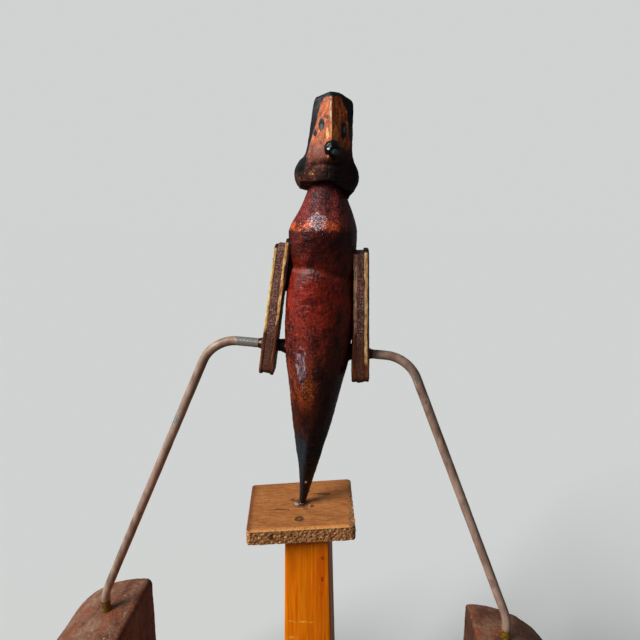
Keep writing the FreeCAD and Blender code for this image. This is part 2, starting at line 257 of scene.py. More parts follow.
def through(stations, at):
    """Values at a height on a smooth curve through rows of (height, value, value and so on)."""
    last = len(stations) - 2
    i = 0
    while i < last and at > stations[i + 1][0]:
        i += 1
    low, high = stations[i], stations[i + 1]
    before = stations[max(i - 1, 0)]
    after = stations[min(i + 2, last + 1)]
    span = high[0] - low[0]
    t = (at - low[0]) / span
    values = []
    for k in range(1, len(low)):
        leave = (high[k] - before[k]) / (high[0] - before[0]) * span
        arrive = (after[k] - low[k]) / (after[0] - low[0]) * span
        values.append(
            low[k] * (2 * t ** 3 - 3 * t ** 2 + 1)
            + leave * (t ** 3 - 2 * t ** 2 + t)
            + high[k] * (3 * t ** 2 - 2 * t ** 3)
            + arrive * (t ** 3 - t ** 2)
        )
    return values


def steps(low, high, step):
    """Evenly spaced numbers from low to high, both included."""
    count = max(1, math.ceil(abs(high - low) / step))
    return [lerp(low, high, i / count) for i in range(count + 1)]


def rotated(point, degrees, axis, about=(0.0, 0.0, 0.0)):
    """A point turned about an axis through another point."""
    turn = Matrix.Rotation(math.radians(degrees), 3, axis)
    about = Vector(about)
    return turn @ (Vector(point) - about) + about


def in_frame(point):
    """Millimetres here to metres in the frame."""
    return Vector((point[0], point[1], point[2] + TOP)) * MM


def skin(rows):
    """Points and faces of a closed tube through rings of equal count, with a fan over each end."""
    count = len(rows[0])
    points = [Vector(p) for row in rows for p in row]
    faces = []
    for r in range(len(rows) - 1):
        for i in range(count):
            a = r * count + i
            b = r * count + (i + 1) % count
            faces.append((a, b, b + count, a + count))
    for ring, flip in ((0, True), (len(rows) - 1, False)):
        first = ring * count
        middle = sum(points[first:first + count], Vector()) / count
        points.append(middle)
        for i in range(count):
            a = first + i
            b = first + (i + 1) % count
            faces.append((b, a, len(points) - 1) if flip else (a, b, len(points) - 1))
    return points, faces


def face_outwards(mesh):
    """Turns a closed mesh's faces over if they face inwards."""
    shell = bmesh.new()
    shell.from_mesh(mesh)
    inside_out = shell.calc_volume(signed=True) < 0
    shell.free()
    if inside_out:
        mesh.flip_normals()


def add_piece(name, rows, place, material, body, replaces=(), sharp=50.0, relief=None):
    """Makes one visible piece from rings in its own millimetres.

    place turns its own millimetres into millimetres from the platform's top. relief gives a height
    in millimetres, along the surface's normal, for a point in the piece's own millimetres.
    """
    own, faces = skin(rows)
    mesh = bpy.data.meshes.new(name)
    mesh.from_pydata([in_frame(place(p)) for p in own], [], faces)
    face_outwards(mesh)
    mesh.update()
    if relief:
        heights = [relief(p) * MM for p in own]
        normals = [v.normal.copy() for v in mesh.vertices]
        for vertex, normal, height in zip(mesh.vertices, normals, heights):
            vertex.co += normal * height
    stored = mesh.attributes.new("own", "FLOAT_VECTOR", "POINT")
    stored.data.foreach_set("vector", [c for p in own for c in p])
    mesh.polygons.foreach_set("use_smooth", [True] * len(mesh.polygons))
    mesh.set_sharp_from_angle(angle=math.radians(sharp))
    mesh.materials.append(material)
    piece = bpy.data.objects.new(name, mesh)
    bpy.context.scene.collection.objects.link(piece)
    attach(piece, body)
    if replaces:
        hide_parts(*replaces)
    return piece


def store_side(piece, values):
    """Keeps a number for each point: 0 on the piece's faces, 1 on its sides and in the middle of its ends."""
    stored = piece.data.attributes.new("side", "FLOAT", "POINT")
    stored.data.foreach_set("value", values + [1.0, 1.0])


def circle(count):
    """Cosines and sines of evenly spaced angles, all the way round."""
    angles = [2 * math.pi * i / count for i in range(count)]
    return [(math.cos(a), math.sin(a)) for a in angles]


def rectangle(half, low, high):
    """The corners of an upright rectangle, anticlockwise."""
    return ((-half, low), (half, low), (half, high), (-half, high))


def same_place(point):
    """For a piece whose own millimetres are measured from the platform's top."""
    return point


def rounded_corners(corners, radius, step):
    """A closed outline with rounded corners, as points about one step apart."""
    outline = []
    count = len(corners)
    for i in range(count):
        corner = Vector(corners[i])
        back = (Vector(corners[i - 1]) - corner).normalized()
        ahead = (Vector(corners[(i + 1) % count]) - corner).normalized()
        reach = radius / math.tan(back.angle(ahead) / 2)
        start = corner + back * reach
        end = corner + ahead * reach
        for t in steps(0.0, 1.0, 1.0 / max(3, math.ceil(1.6 * radius / step))):
            outline.append(start * (1 - t) ** 2 + corner * 2 * t * (1 - t) + end * t ** 2)
        following = Vector(corners[(i + 1) % count])
        onward = (Vector(corners[(i + 2) % count]) - following).normalized()
        next_reach = radius / math.tan((-ahead).angle(onward) / 2)
        target = following - ahead * next_reach
        gap = max((target - end).length, step)
        outline += [lerp(end, target, t) for t in steps(0.0, 1.0, step / gap)[1:-1]]
    return outline


def outward_normals(outline):
    """Unit normals of a closed outline that runs anticlockwise."""
    normals = []
    for i in range(len(outline)):
        along = outline[(i + 1) % len(outline)] - outline[i - 1]
        normals.append(Vector((along.y, -along.x)).normalized())
    return normals


def slab_rows(outline, low, high, edge, step, middle, core=0.0):
    """Rings over a flat-ended block: from the middle of one end, round both edges, to the other."""
    normals = outward_normals(outline)
    middle = Vector(middle)
    widest = max((p - middle).length for p in outline)

    def ring(inset, height, share=1.0):
        """One ring, drawn in along the normals and then towards a small circle in the middle."""
        points = []
        for p, n in zip(outline, normals):
            arm = p - n * inset - middle
            circle = arm.normalized() * core
            q = middle + circle + (arm - circle) * share
            points.append((q.x, q.y, height))
        return points

    shares = steps(0.02, 1.0, step / widest)[:-1]
    turns = [math.radians(turn) for turn in steps(0.0, 90.0, 22.5)]
    rounding = [(edge * (1 - math.sin(a)), edge * (1 - math.cos(a))) for a in turns]
    rows = [ring(edge, low, share) for share in shares]
    rows += [ring(inset, low + rise) for inset, rise in rounding]
    rows += [ring(0.0, height) for height in steps(low + edge, high - edge, step)[1:-1]]
    rows += [ring(inset, high - rise) for inset, rise in reversed(rounding)]
    rows += [ring(edge, high, share) for share in reversed(shares)]
    return rows


def tube_rows(path, radius, count):
    """Rings round a path of (point, direction) pairs that lies in the XZ plane."""
    rows = []
    for i, (point, direction) in enumerate(path):
        side = Vector((0, 1, 0))
        other = direction.cross(side)
        size = radius(i) if callable(radius) else radius
        rows.append([point + (side * x - other * y) * size for x, y in circle(count)])
    return rows


def srgb(red, green, blue):
    """A colour as it looks on a screen, 0 to 255, as linear light."""
    channels = []
    for value in (red, green, blue):
        v = value / 255
        channels.append(v / 12.92 if v <= 0.04045 else ((v + 0.055) / 1.055) ** 2.4)
    return (*channels, 1.0)


class Value:
    """What a node gives out. A sum with one adds a node for it."""

    def __init__(self, graph, socket):
        self.graph = graph
        self.socket = socket

    def __add__(self, other):
        return self.graph.math("ADD", self, other)

    def __sub__(self, other):
        return self.graph.math("SUBTRACT", self, other)

    def __rsub__(self, other):
        return self.graph.math("SUBTRACT", other, self)

    def __mul__(self, other):
        return self.graph.math("MULTIPLY", self, other)

    def __truediv__(self, other):
        return self.graph.math("DIVIDE", self, other)

    def __abs__(self):
        return self.graph.math("ABSOLUTE", self)


class Graph:
    """One node material, with its colour so far. Its textures are laid out in millimetres."""

    def __init__(self, name, own=True):
        self.material = bpy.data.materials.new(name)
        self.material.use_nodes = True
        self.tree = self.material.node_tree
        self.tree.nodes.clear()
        self.shader = self.tree.nodes.new("ShaderNodeBsdfPrincipled")
        output = self.tree.nodes.new("ShaderNodeOutputMaterial")
        self.tree.links.new(self.shader.outputs[0], output.inputs[0])
        if own:
            self.point = self.stored("own", "Vector")
        else:
            self.point = self.scaled(self.node("ShaderNodeTexCoord", {}, "Object"), (1 / MM,) * 3)
        parts = self.tree.nodes.new("ShaderNodeSeparateXYZ")
        self.feed(parts.inputs[0], self.point)
        self.x, self.y, self.z = [Value(self, part) for part in parts.outputs]
        self.colour = None

    def node(self, kind, inputs, output=0, **settings):
        """One output of a new node with these inputs and settings."""
        node = self.tree.nodes.new(kind)
        for key, value in settings.items():
            setattr(node, key, value)
        for key, value in inputs.items():
            self.feed(node.inputs[key], value)
        return Value(self, node.outputs[output])

    def feed(self, socket, value):
        """Links a value to a socket, or gives it a constant."""
        if isinstance(value, Value):
            self.tree.links.new(value.socket, socket)
        else:
            socket.default_value = value

    def stored(self, name, output="Fac"):
        """What the mesh keeps under this name for each of its points."""
        return self.node("ShaderNodeAttribute", {}, output, attribute_name=name)

    def scaled(self, vector, scale, shift=(0.0, 0.0, 0.0)):
        """A vector times a scale, plus a shift."""
        return self.node("ShaderNodeMapping", {"Vector": vector, "Scale": scale, "Location": shift})

    def math(self, operation, a, b=0.0):
        """One sum of two values."""
        return self.node("ShaderNodeMath", {0: a, 1: b}, operation=operation)

    def reach(self, a, b):
        """How far from 0 two values are together."""
        return self.math("SQRT", a * a + b * b)

    def step(self, value, low, high, top=1.0):
        """A soft step from 0 to top as the value goes from low to high."""
        inputs = {"Value": value, "From Min": low, "From Max": high, "To Max": top}
        return self.node("ShaderNodeMapRange", inputs, interpolation_type="SMOOTHSTEP")

    def band(self, value, low, high, soft):
        """1 between low and high, with soft ends."""
        return self.step(value, low - soft, low + soft) * self.step(value, high + soft, high - soft)

    def any(self, *masks):
        """The strongest of several masks."""
        result = masks[0]
        for mask in masks[1:]:
            result = self.math("MAXIMUM", result, mask)
        return result

    def noise(self, size, stretch=(1.0, 1.0, 1.0), detail=3.0, rough=0.5, seed=0.0):
        """Noise from 0 to 1, mostly near 0.5, with lumps of this many millimetres."""
        point = self.scaled(self.point, [1.0 / (size * s) for s in stretch], (seed, -seed, 2.3 * seed))
        inputs = {"Vector": point, "Scale": 1.0, "Detail": detail, "Roughness": rough}
        return self.node("ShaderNodeTexNoise", inputs)

    def wander(self, spread, *sizes, **settings):
        """Noise round 0, from half of the spread below it to half above."""
        return (self.noise(*sizes, **settings) - 0.5) * spread

    def cracks(self, size, stretch, width, seed=0.0):
        """1 in the middle of irregular cells of this many millimetres, 0 in the cracks between them."""
        point = self.scaled(self.point, [1.0 / (size * s) for s in stretch], (seed, seed, -seed))
        inputs = {"Vector": point, "Scale": 1.0}
        distance = self.node("ShaderNodeTexVoronoi", inputs, "Distance", feature="DISTANCE_TO_EDGE")
        return self.step(distance, 0.0, width)

    def spot(self, across, up, centre, radii, ragged=0.2, size=1.2, seed=0.0):
        """An oval spot with a ragged edge, in two of the piece's own directions."""
        distance = self.reach((across - centre[0]) / radii[0], (up - centre[1]) / radii[1])
        return self.step(distance + self.wander(4 * ragged, size, seed=seed), 1.1, 0.85)

    def spots(self, across, up, *rows):
        """Several spots, from rows of what spot takes after its directions."""
        return self.any(*[self.spot(across, up, *row) for row in rows])

    def ramp(self, value, *stops):
        """A colour for each value, from (place, linear colour) stops."""
        node = self.tree.nodes.new("ShaderNodeValToRGB")
        elements = node.color_ramp.elements
        while len(elements) < len(stops):
            elements.new(0.5)
        for element, (place, colour) in zip(elements, stops):
            element.position = place
            element.color = colour
        self.feed(node.inputs[0], value)
        return Value(self, node.outputs[0])

    def tones(self, value, *stops):
        """A colour for each value, from (place, red, green, blue) stops in screen colours."""
        return self.ramp(value, *[(place, srgb(*colour)) for place, *colour in stops])

    def blend(self, share, a, b, mode="MIX"):
        """Colour a with a share of colour b over it."""
        return self.node("ShaderNodeMix", {0: share, 6: a, 7: b}, 2, data_type="RGBA", blend_type=mode)

    def lay(self, share, *over):
        """Lays a share of another colour, one value or a screen colour, over the colour so far."""
        self.colour = self.blend(share, self.colour, over[0] if len(over) == 1 else srgb(*over))

    def multiply(self, over):
        """The colour so far times another one."""
        return self.blend(1.0, self.colour, over, "MULTIPLY")

    def tint(self, share, over):
        """Multiplies the colour so far by another one, by a share."""
        self.lay(share, self.multiply(over))

    def shade(self, value, darkest, lightest):
        """Multiplies the colour so far by a grey that follows a value from 0 to 1."""
        low, high = [(grey, grey, grey, 1.0) for grey in (darkest, lightest)]
        self.colour = self.multiply(self.ramp(value, (0.25, low), (0.75, high)))

    def finish(self, roughness, reliefs, **others):
        """Sets the shader: reliefs are (height from 0 to 1, depth in millimetres) pairs."""
        inputs = {"Base Color": self.colour, "Roughness": roughness, **others}
        for height, depth in reliefs:
            bump = {"Strength": 1.0, "Distance": depth * MM, "Height": height}
            if "Normal" in inputs:
                bump["Normal"] = inputs["Normal"]
            inputs["Normal"] = self.node("ShaderNodeBump", bump)
        for key, value in inputs.items():
            self.feed(self.shader.inputs[key.replace("_", " ")], value)
        return self.material


def body_wood():
    """Dark red-brown lacquer over carved wood, black at the foot, worn at the shoulder."""
    g = Graph("body_wood")
    drift = g.wander(16.0, 7.0, detail=4.0, seed=3.0)
    # The dark band under the shoulder, from 0.775 to 0.83 of the height, is partly darker lacquer and partly
    # painted shade under the shoulder's edge.
    g.colour = g.tones(
        (g.z + drift) / BODY_TOP, (0.22, 54, 18, 8), (0.36, 72, 26, 12), (0.5, 106, 40, 26),
        (0.68, 138, 34, 20), (0.75, 112, 32, 20), (0.775, 88, 22, 12), (0.83, 66, 12, 7),
        (0.865, 126, 44, 36), (0.99, 124, 42, 40)
    )
    patches = g.noise(6.0, (1.0, 1.0, 1.8), 4.0, 0.55, seed=11.0)
    g.shade(patches, 0.35, 1.6)
    amber = g.step(g.noise(3.6, (1.0, 1.0, 2.2), 4.0, 0.6, seed=14.0), 0.44, 0.62, 0.6)
    amber = amber * g.band(g.z, 47.0, 66.0, 4.0) * g.step(g.x, 9.0, 4.0)
    g.lay(amber, 160, 66, 24)
    body_wear_and_lip_highlight(g)
    grain = g.noise(0.8, (1.0, 1.0, 6.0), 3.0, seed=5.0)
    g.shade(grain, 0.7, 1.32)
    speckle = g.noise(0.75, (1.0, 1.0, 1.2), 4.0, 0.75, seed=16.0)
    g.shade(speckle, 0.3, 1.85)
    soot = g.step(g.noise(3.2, (1.0, 1.0, 1.6), 4.0, 0.65, seed=31.0), 0.5, 0.62, 0.65)
    g.lay(soot, 26, 9, 10)
    # Painted shade: the right side is darker, more so lower down.
    right = g.step(g.x, 1.0, 9.0)
    painted_shade_tone = g.ramp(g.z / BODY_TOP, (0.4, (0.5, 0.5, 0.5, 1.0)), (0.66, (0.8, 0.8, 0.8, 1.0)))
    g.tint(right, painted_shade_tone)
    body_painted_highlights(g, speckle)
    foot = g.step(g.z + g.noise(5.0, seed=1.0) * 9.0, 43.0, 31.0)
    # The foot's black is lighter and bluer on its left and near black on its right: painted light and shade.
    to_left = g.x - g.z * LEG_LEAN
    black = g.tones(g.step(to_left, -2.4, 1.2), (0.0, 40, 48, 56), (0.5, 14, 16, 20), (1.0, 2, 2, 3))
    g.lay(foot, black)
    chip = g.spot(g.x, g.z, (1.9, 11.2), (0.45, 0.6))
    g.lay(chip, 196, 128, 112)
    fine = g.noise(0.85, (1.0, 1.0, 1.3), 4.0, 0.65, seed=4.0)
    knife = g.noise(2.4, (1.0, 1.0, 0.6), 2.0, seed=7.0)
    crazed = g.cracks(1.1, (1.0, 1.0, 1.3), 0.12, seed=3.0)
    crazing = g.any(crazed, g.step(g.z, 115.0, 111.0))
    g.shade(crazing, 0.6, 1.0)
    roughness = g.step(g.noise(3.0, detail=4.0, seed=9.0), 0.3, 0.7, 0.12) + 0.2
    roughness = roughness + g.step(g.z, 116.0, 121.0, 0.24)
    calmer = g.step(g.z, 122.0, 116.0, 0.6) + 0.4
    reliefs = ((knife, 0.3), (fine * calmer, 0.22), (crazing, 0.12))
    return g.finish(roughness, reliefs, Specular_IOR_Level=0.28)


def body_wear_and_lip_highlight(g):
    """Orange wood bared along the shoulder, and a pale lip under the waist groove: partly worn lacquer,
    partly painted highlight.
    """
    ragged = g.wander(5.0, 2.6, detail=4.0, seed=8.0)
    shoulder = g.band(g.z + ragged, 114.9, 117.6, 0.6)
    worn = g.step(g.noise(5.0, (1.0, 1.0, 3.0), seed=2.0), 0.28, 0.46, 0.9)
    g.lay(shoulder * worn * g.step(g.x, 17.5, 13.0), 232, 98, 40)
    slant = g.any(g.x - GROOVE_LEVEL_TO, 0.0) * GROOVE_SLANT
    lip_height = g.z + slant + ragged * 0.3
    # The lip's pale colour is partly wear and partly painted highlight, fading out to the right.
    lip = g.band(lip_height, 99.3, 100.5, 0.6) * g.step(g.x, 13.0, 4.0, 0.55)
    g.lay(lip, 168, 84, 72)


def body_painted_highlights(g, speckle):
    """Painted highlights in the lacquer: a crackled one on the shoulder and a thin upright one on the leg,
    painted sparkle on the leg, and a golden patch on the leg.
    """
    front = g.step(g.y, -2.0, -5.0)
    cells = g.cracks(0.8, (1.0, 1.0, 1.0), 0.3, seed=9.0)
    # Painted highlight on the shoulder, broken up by cracks.
    shoulder = g.spot(g.x, g.z, (7.2, 117.8), (3.4, 3.0), 0.3, 1.6, 2.0) * cells * front
    g.lay(shoulder * 0.85, 232, 214, 222)
    threads = g.step(g.noise(0.9, (1.0, 1.0, 2.6), 4.0, 0.7, seed=27.0), 0.4, 0.66)
    # Painted highlight: a thin upright one on the leg.
    leg_painted_highlight = g.spot(g.x, g.z, (0.9, 64.0), (1.9, 7.5), 0.5, 2.0, 4.0) * threads * front
    g.lay(leg_painted_highlight * 0.75, 186, 176, 192)
    # Painted sparkle on the leg's left side.
    painted_sparkle = g.step(speckle, 0.56, 0.66, 0.55) * g.band(g.z, 52.0, 84.0, 6.0) * g.step(g.x, 10.0, 3.0)
    g.lay(painted_sparkle, 150, 116, 122)
    gold = g.spot(g.x, g.z, (3.2, 54.5), (2.6, 4.2), 0.4, 1.6, 6.0) * g.step(speckle, 0.46, 0.68) * front
    g.lay(gold * 0.65, 206, 118, 46)


def head_wood():
    """Varnished orange wood with painted black sides and eyes, darker at the jowls; painted shade on the
    right face and low on the right, and a painted highlight along the ridge.
    """
    g = Graph("head_wood")
    across = g.x - g.any(g.z - RIDGE_BEND, 0.0) * RIDGE_LEAN
    streaks = g.noise(1.0, (1.0, 1.0, 8.0), 3.0, seed=2.0)
    patches = g.noise(3.4, (1.0, 1.0, 1.4), 4.0, seed=4.0)
    g.colour = g.tones(streaks, (0.34, 146, 56, 12), (0.5, 200, 98, 40), (0.66, 236, 140, 76))
    g.shade(patches, 0.66, 1.15)
    # Painted shade: the right front face is tinted darker and yellower.
    shaded_side = g.step(across, 0.2, 0.7, 0.85)
    g.tint(shaded_side, srgb(180, 162, 96))
    # Painted highlight: a golden patch on the right face beside the ridge.
    low_ridge = g.spot(across, g.z, (1.5, 19.8), (0.9, 3.0), 0.5, 1.0, 9.0) * g.step(g.y, -3.0, -4.0)
    g.lay(low_ridge * 0.5, 228, 138, 52)
    # A pale line along the ridge, paler higher up: partly worn wood, partly painted highlight.
    ridge = g.band(across, -0.34, 0.22, 0.1) * g.step(g.y, -3.0, -4.0) * g.step(g.z, 17.0, 19.0)
    ridge = ridge * g.step(g.noise(1.2, (1.0, 1.0, 3.0), 3.0, seed=35.0), 0.3, 0.5, 0.92)
    edge = g.tones(g.step(g.z, 20.0, 30.0), (0.1, 246, 168, 118), (0.9, 255, 236, 200))
    g.lay(ridge, edge)
    g.lay(g.spot(across, g.z, (-1.3, 20.0), (0.45, 2.2), 0.3), 244, 184, 96)
    ragged = g.wander(12.0, 2.4, detail=4.0, seed=6.0)
    ragged_height = g.z + ragged
    mauve = g.step(ragged_height, 18.5, 13.5, 0.8)
    g.lay(mauve, 112, 50, 36)
    flecks = g.step(g.noise(2.2, detail=4.0, rough=0.6, seed=21.0), 0.54, 0.62, 0.85)
    flecks = flecks * g.step(g.x, -1.0, -4.0)
    g.lay(flecks, 196, 92, 42)
    dark = g.step(ragged_height, 12.0, 9.5, 0.92)
    g.lay(dark, 58, 23, 15)
    scratched = g.step(g.noise(1.1, (1.6, 1.6, 1.0), 4.0, 0.65, seed=33.0), 0.52, 0.62, 0.7)
    g.lay(scratched * dark * g.step(g.x, 1.0, -2.5), 168, 76, 32)
    fine = g.noise(0.5, detail=3.0, rough=0.7, seed=41.0)
    gold = g.spot(g.x, g.z, (-5.8, 6.3), (1.2, 1.0), 0.5, 1.0, 8.0) * g.step(fine, 0.53, 0.6)
    g.lay(gold, 238, 168, 96)
    fleck = g.spot(g.x, g.z, (-0.6, 11.9), (0.5, 1.0), 0.4)
    g.lay(fleck, 206, 122, 78)
    # Painted shade: near black low down on the right of the muzzle.
    painted_shade_low_right = g.step(g.x + (14.0 - ragged_height), 1.0, 6.0, 0.85)
    g.lay(painted_shade_low_right, 20, 6, 4)
    speckle = g.noise(0.7, detail=4.0, rough=0.75, seed=3.0)
    g.shade(speckle, 0.55, 1.5)
    return head_paint(g, across, speckle)


def head_paint(g, across, speckle):
    """Black paint over the head's wood, and the shader."""
    wobble = g.wander(1.2, 1.6, detail=3.0, seed=12.0)
    wide = g.stored("side")
    paint = g.step(wide + wobble, 0.35, 0.6)
    for edge in PAINT_EDGES:
        beyond = line_side(g, edge)
        paint = g.any(paint, g.step(beyond + wobble * 0.7, -0.15, 0.2))
    cap = g.step(g.z + wobble, 32.9, 33.4) * g.step(across, 0.5, 0.0)
    eyes = g.any(
        g.spot(g.x, g.z, (-3.85, 23.3), (1.0, 2.35), 0.1, 1.0, 1.0),
        g.spot(g.x, g.z, (-2.2, 26.0), (0.8, 0.9), 0.4, 0.9, 2.0) * 0.7,
        g.spot(g.x, g.z, (-5.9, 20.3), (0.65, 1.35), 0.35, 0.9, 3.0),
        g.spot(g.x, g.z, (4.15, 21.9), (1.0, 3.3), 0.1, 1.0, 4.0)
    )
    eyes = eyes * g.step(g.y, -1.0, -2.0)
    crown = g.step(g.z + wobble, 33.3, 33.9)
    paint = g.any(paint, cap, crown, eyes)
    glint = g.spots(
        g.x, g.z, ((-3.7, 22.5), (0.5, 1.2), 0.3, 0.8, 5.0), ((4.4, 22.4), (0.35, 1.2), 0.3, 0.8, 6.0)
    )
    black = g.blend(glint * g.step(g.y, -1.0, -2.0) * 0.7, srgb(18, 18, 19), srgb(96, 104, 106))
    rubbed = g.noise(0.9, (1.5, 1.0, 2.5), 4.0, 0.7, seed=37.0)
    rubbed = g.tones(rubbed, (0.42, 40, 20, 14), (0.54, 78, 44, 32), (0.64, 156, 102, 66))
    below = g.step(g.z + wobble, 7.2, 5.0, 0.9)
    black = g.blend(below * g.step(g.x, -4.5, -6.0), black, rubbed)
    g.lay(paint, black)
    roughness = g.step(g.noise(2.0, seed=5.0), 0.3, 0.7, 0.2) + paint * 0.2
    roughness = roughness + g.step(g.z, 16.0, 10.0, 0.25) + 0.32
    grain = g.noise(0.7, (1.0, 1.0, 8.0), 2.0, seed=8.0)
    bare = 1.0 - paint * 0.8
    reliefs = ((grain * bare, 0.15), (speckle * bare, 0.15), (paint, 0.1))
    return g.finish(roughness, reliefs, Specular_IOR_Level=0.3)


def line_side(g, edge):
    """How far a point of the head is to the outer side of a line given by two (across, height) points."""
    (x0, z0), (x1, z1) = edge
    lean = (x1 - x0) / (z1 - z0)
    line = (g.z - z0) * lean + x0
    return (g.x - line) * (1.0 if x0 > 0 else -1.0)


def nose_black():
    """Thick glossy black paint, with a painted grey reflection and a painted white glint."""
    g = Graph("nose_black")
    lumpy = g.noise(1.2, detail=3.0, seed=1.0)
    g.colour = g.tones(lumpy, (0.3, 4, 4, 4), (0.7, 12, 13, 14))
    # Painted reflection: grey low on the right. Painted glint: a small white spot on the left.
    low = g.spot(g.x, g.z, (1.6, 13.6), (1.5, 0.9), 0.3, 1.2, 2.0) * g.step(g.y, -11.5, -12.2)
    g.lay(low * 0.8, 92, 104, 110)
    glint = g.spot(g.x, g.z, (-0.9, 14.4), (0.45, 0.35), 0.3, 0.7, 3.0) * g.step(g.y, -11.5, -12.2)
    g.lay(glint, 236, 240, 244)
    roughness = g.step(lumpy, 0.3, 0.7, 0.15) + 0.3
    return g.finish(roughness, ((lumpy, 0.25),), Specular_IOR_Level=0.3)


def arm_core():
    """The dark, rough edge of the middle ply."""
    g = Graph("arm_core")
    speckle = g.noise(0.55, detail=4.0, rough=0.75, seed=1.0)
    g.colour = g.tones(speckle, (0.36, 50, 20, 14), (0.5, 124, 70, 54), (0.62, 216, 160, 142))
    foot = g.tones(speckle, (0.34, 52, 20, 12), (0.5, 104, 54, 32), (0.66, 150, 92, 60))
    ragged = g.noise(3.0, seed=5.0) * 16.0
    g.lay(g.step(g.z + ragged, 28.0, 22.0), foot)
    long_patches = g.noise(3.0, (1.0, 1.0, 3.0), 3.0, seed=2.0)
    g.shade(long_patches, 0.75, 1.2)
    roughness = g.step(speckle, 0.3, 0.7, 0.25) + 0.38
    return g.finish(roughness, ((speckle, 0.5),))


def arm_face(name, inward, outward, low, high, gold):
    """A face ply: dark stained, and golden on its edges between two planes and two heights."""
    g = Graph(name)
    grain = g.noise(0.6, (1.0, 1.0, 12.0), 3.0, seed=4.0)
    g.colour = g.tones(grain, (0.3, 20, 8, 5), (0.5, 46, 18, 10), (0.7, 86, 40, 22))
    foot = g.tones(grain, (0.3, 50, 20, 10), (0.5, 108, 54, 28), (0.7, 160, 94, 52))
    edge = g.step(abs(g.y), ARM_DEPTH / 2 - 0.6, ARM_DEPTH / 2 - 0.25)
    g.lay(edge * g.step(g.z, 24.0, 18.0), foot)
    golden = g.tones(
        g.noise(0.7, (1.0, 1.0, 3.0), 4.0, 0.6, seed=7.0), (0.34, *[0.5 * c for c in gold]),
        (0.44, *[0.88 * c for c in gold]), (0.56, *gold), (0.66, 255, 240, 200)
    )
    wander = g.wander(1.2, 2.4, (1.0, 1.0, 3.0), 4.0, seed=9.0)
    inside = g.band(g.x + wander, inward, outward, 0.15)
    level = g.band(g.z + wander * 8.0, low, high, 2.0)
    g.lay(edge * inside * level, golden)
    roughness = g.step(grain, 0.3, 0.7, 0.25) + 0.3
    return g.finish(roughness, ((grain, 0.2),))


def collar_black():
    """Black lumpy sleeve."""
    g = Graph("collar_black")
    lumpy = g.noise(1.0, detail=4.0, seed=2.0)
    g.colour = g.tones(lumpy, (0.3, 12, 9, 8), (0.7, 38, 27, 22))
    roughness = g.step(lumpy, 0.3, 0.7, 0.3) + 0.45
    return g.finish(roughness, ((lumpy, 0.4),))


def wire_steel():
    """Rod with a dull pinkish brown skin, bare in a few places."""
    g = Graph("wire_steel")
    patches = g.noise(4.0, (1.0, 1.0, 2.5), 4.0, seed=1.0)
    g.colour = g.tones(patches, (0.32, 142, 112, 92), (0.5, 178, 146, 126), (0.68, 206, 174, 154))
    speckle = g.noise(0.6, detail=4.0, rough=0.7, seed=3.0)
    g.shade(speckle, 0.8, 1.15)
    rust = g.step(g.noise(3.0, (1.0, 1.0, 2.0), 4.0, seed=6.0), 0.56, 0.68, 0.4)
    g.lay(rust, 104, 70, 52)
    bare = g.spots(
        g.x, g.z, ((-21.5, 71.0), (4.6, 2.4), 0.3, 1.6, 1.0), ((-53.2, 38.8), (2.2, 3.4), 0.3, 1.6, 2.0)
    )
    g.lay(bare, 206, 204, 196)
    dull = g.spots(
        g.x, g.z, ((46.6, 57.6), (1.3, 2.9), 0.5, 1.0, 3.0), ((50.4, 47.0), (0.5, 0.9), 0.4, 0.8, 4.0)
    )
    g.lay(dull * 0.65, 100, 104, 104)
    roughness = 0.5 - bare * 0.25
    return g.finish(roughness, ((speckle, 0.1),), Metallic=bare * 0.6 + 0.15)


def weight_wood():
    """Dark red-brown stained block, rough, dusty and worn orange in places."""
    g = Graph("weight_wood")
    patches = g.noise(7.0, detail=5.0, rough=0.6, seed=5.0)
    g.colour = g.tones(patches, (0.34, 112, 66, 46), (0.48, 138, 92, 68), (0.62, 158, 118, 94))
    orange = g.step(g.noise(10.0, detail=4.0, seed=9.0), 0.5, 0.68, 0.6)
    low_front = g.step(g.z, -66.0, -82.0) * g.step(g.y, 2.0, -12.0) * g.step(g.x, 0.0, -1.0, 0.6)
    g.lay(g.any(orange, low_front), 160, 82, 46)
    pits = g.noise(1.3, detail=4.0, rough=0.7, seed=2.0)
    g.shade(pits, 0.66, 1.28)
    streaks = g.noise(0.9, (1.0, 8.0, 8.0), 3.0, seed=12.0)
    g.shade(streaks, 0.85, 1.12)
    reach = abs(g.x)
    corner = g.band(reach, 77.6, 79.4, 0.4) * g.step(g.noise(4.0, detail=3.0, seed=17.0), 0.4, 0.55, 0.6)
    g.lay(corner, 160, 74, 34)
    # Painted shade: the inner face is darker, with upright streaks.
    inner = g.step(reach, 78.0, 76.9)
    upright = g.noise(1.4, (1.0, 1.0, 12.0), 3.0, seed=22.0)
    shade = g.tones(upright, (0.3, 142, 138, 136), (0.7, 216, 208, 204))
    g.tint(inner, shade)
    speck = g.step(g.noise(1.5, detail=2.0, seed=8.0), 0.69, 0.74, 0.75)
    g.lay(speck, 212, 186, 170)
    roughness = g.step(pits, 0.3, 0.7, 0.2) + 0.42
    return g.finish(roughness, ((pits, 0.6),))


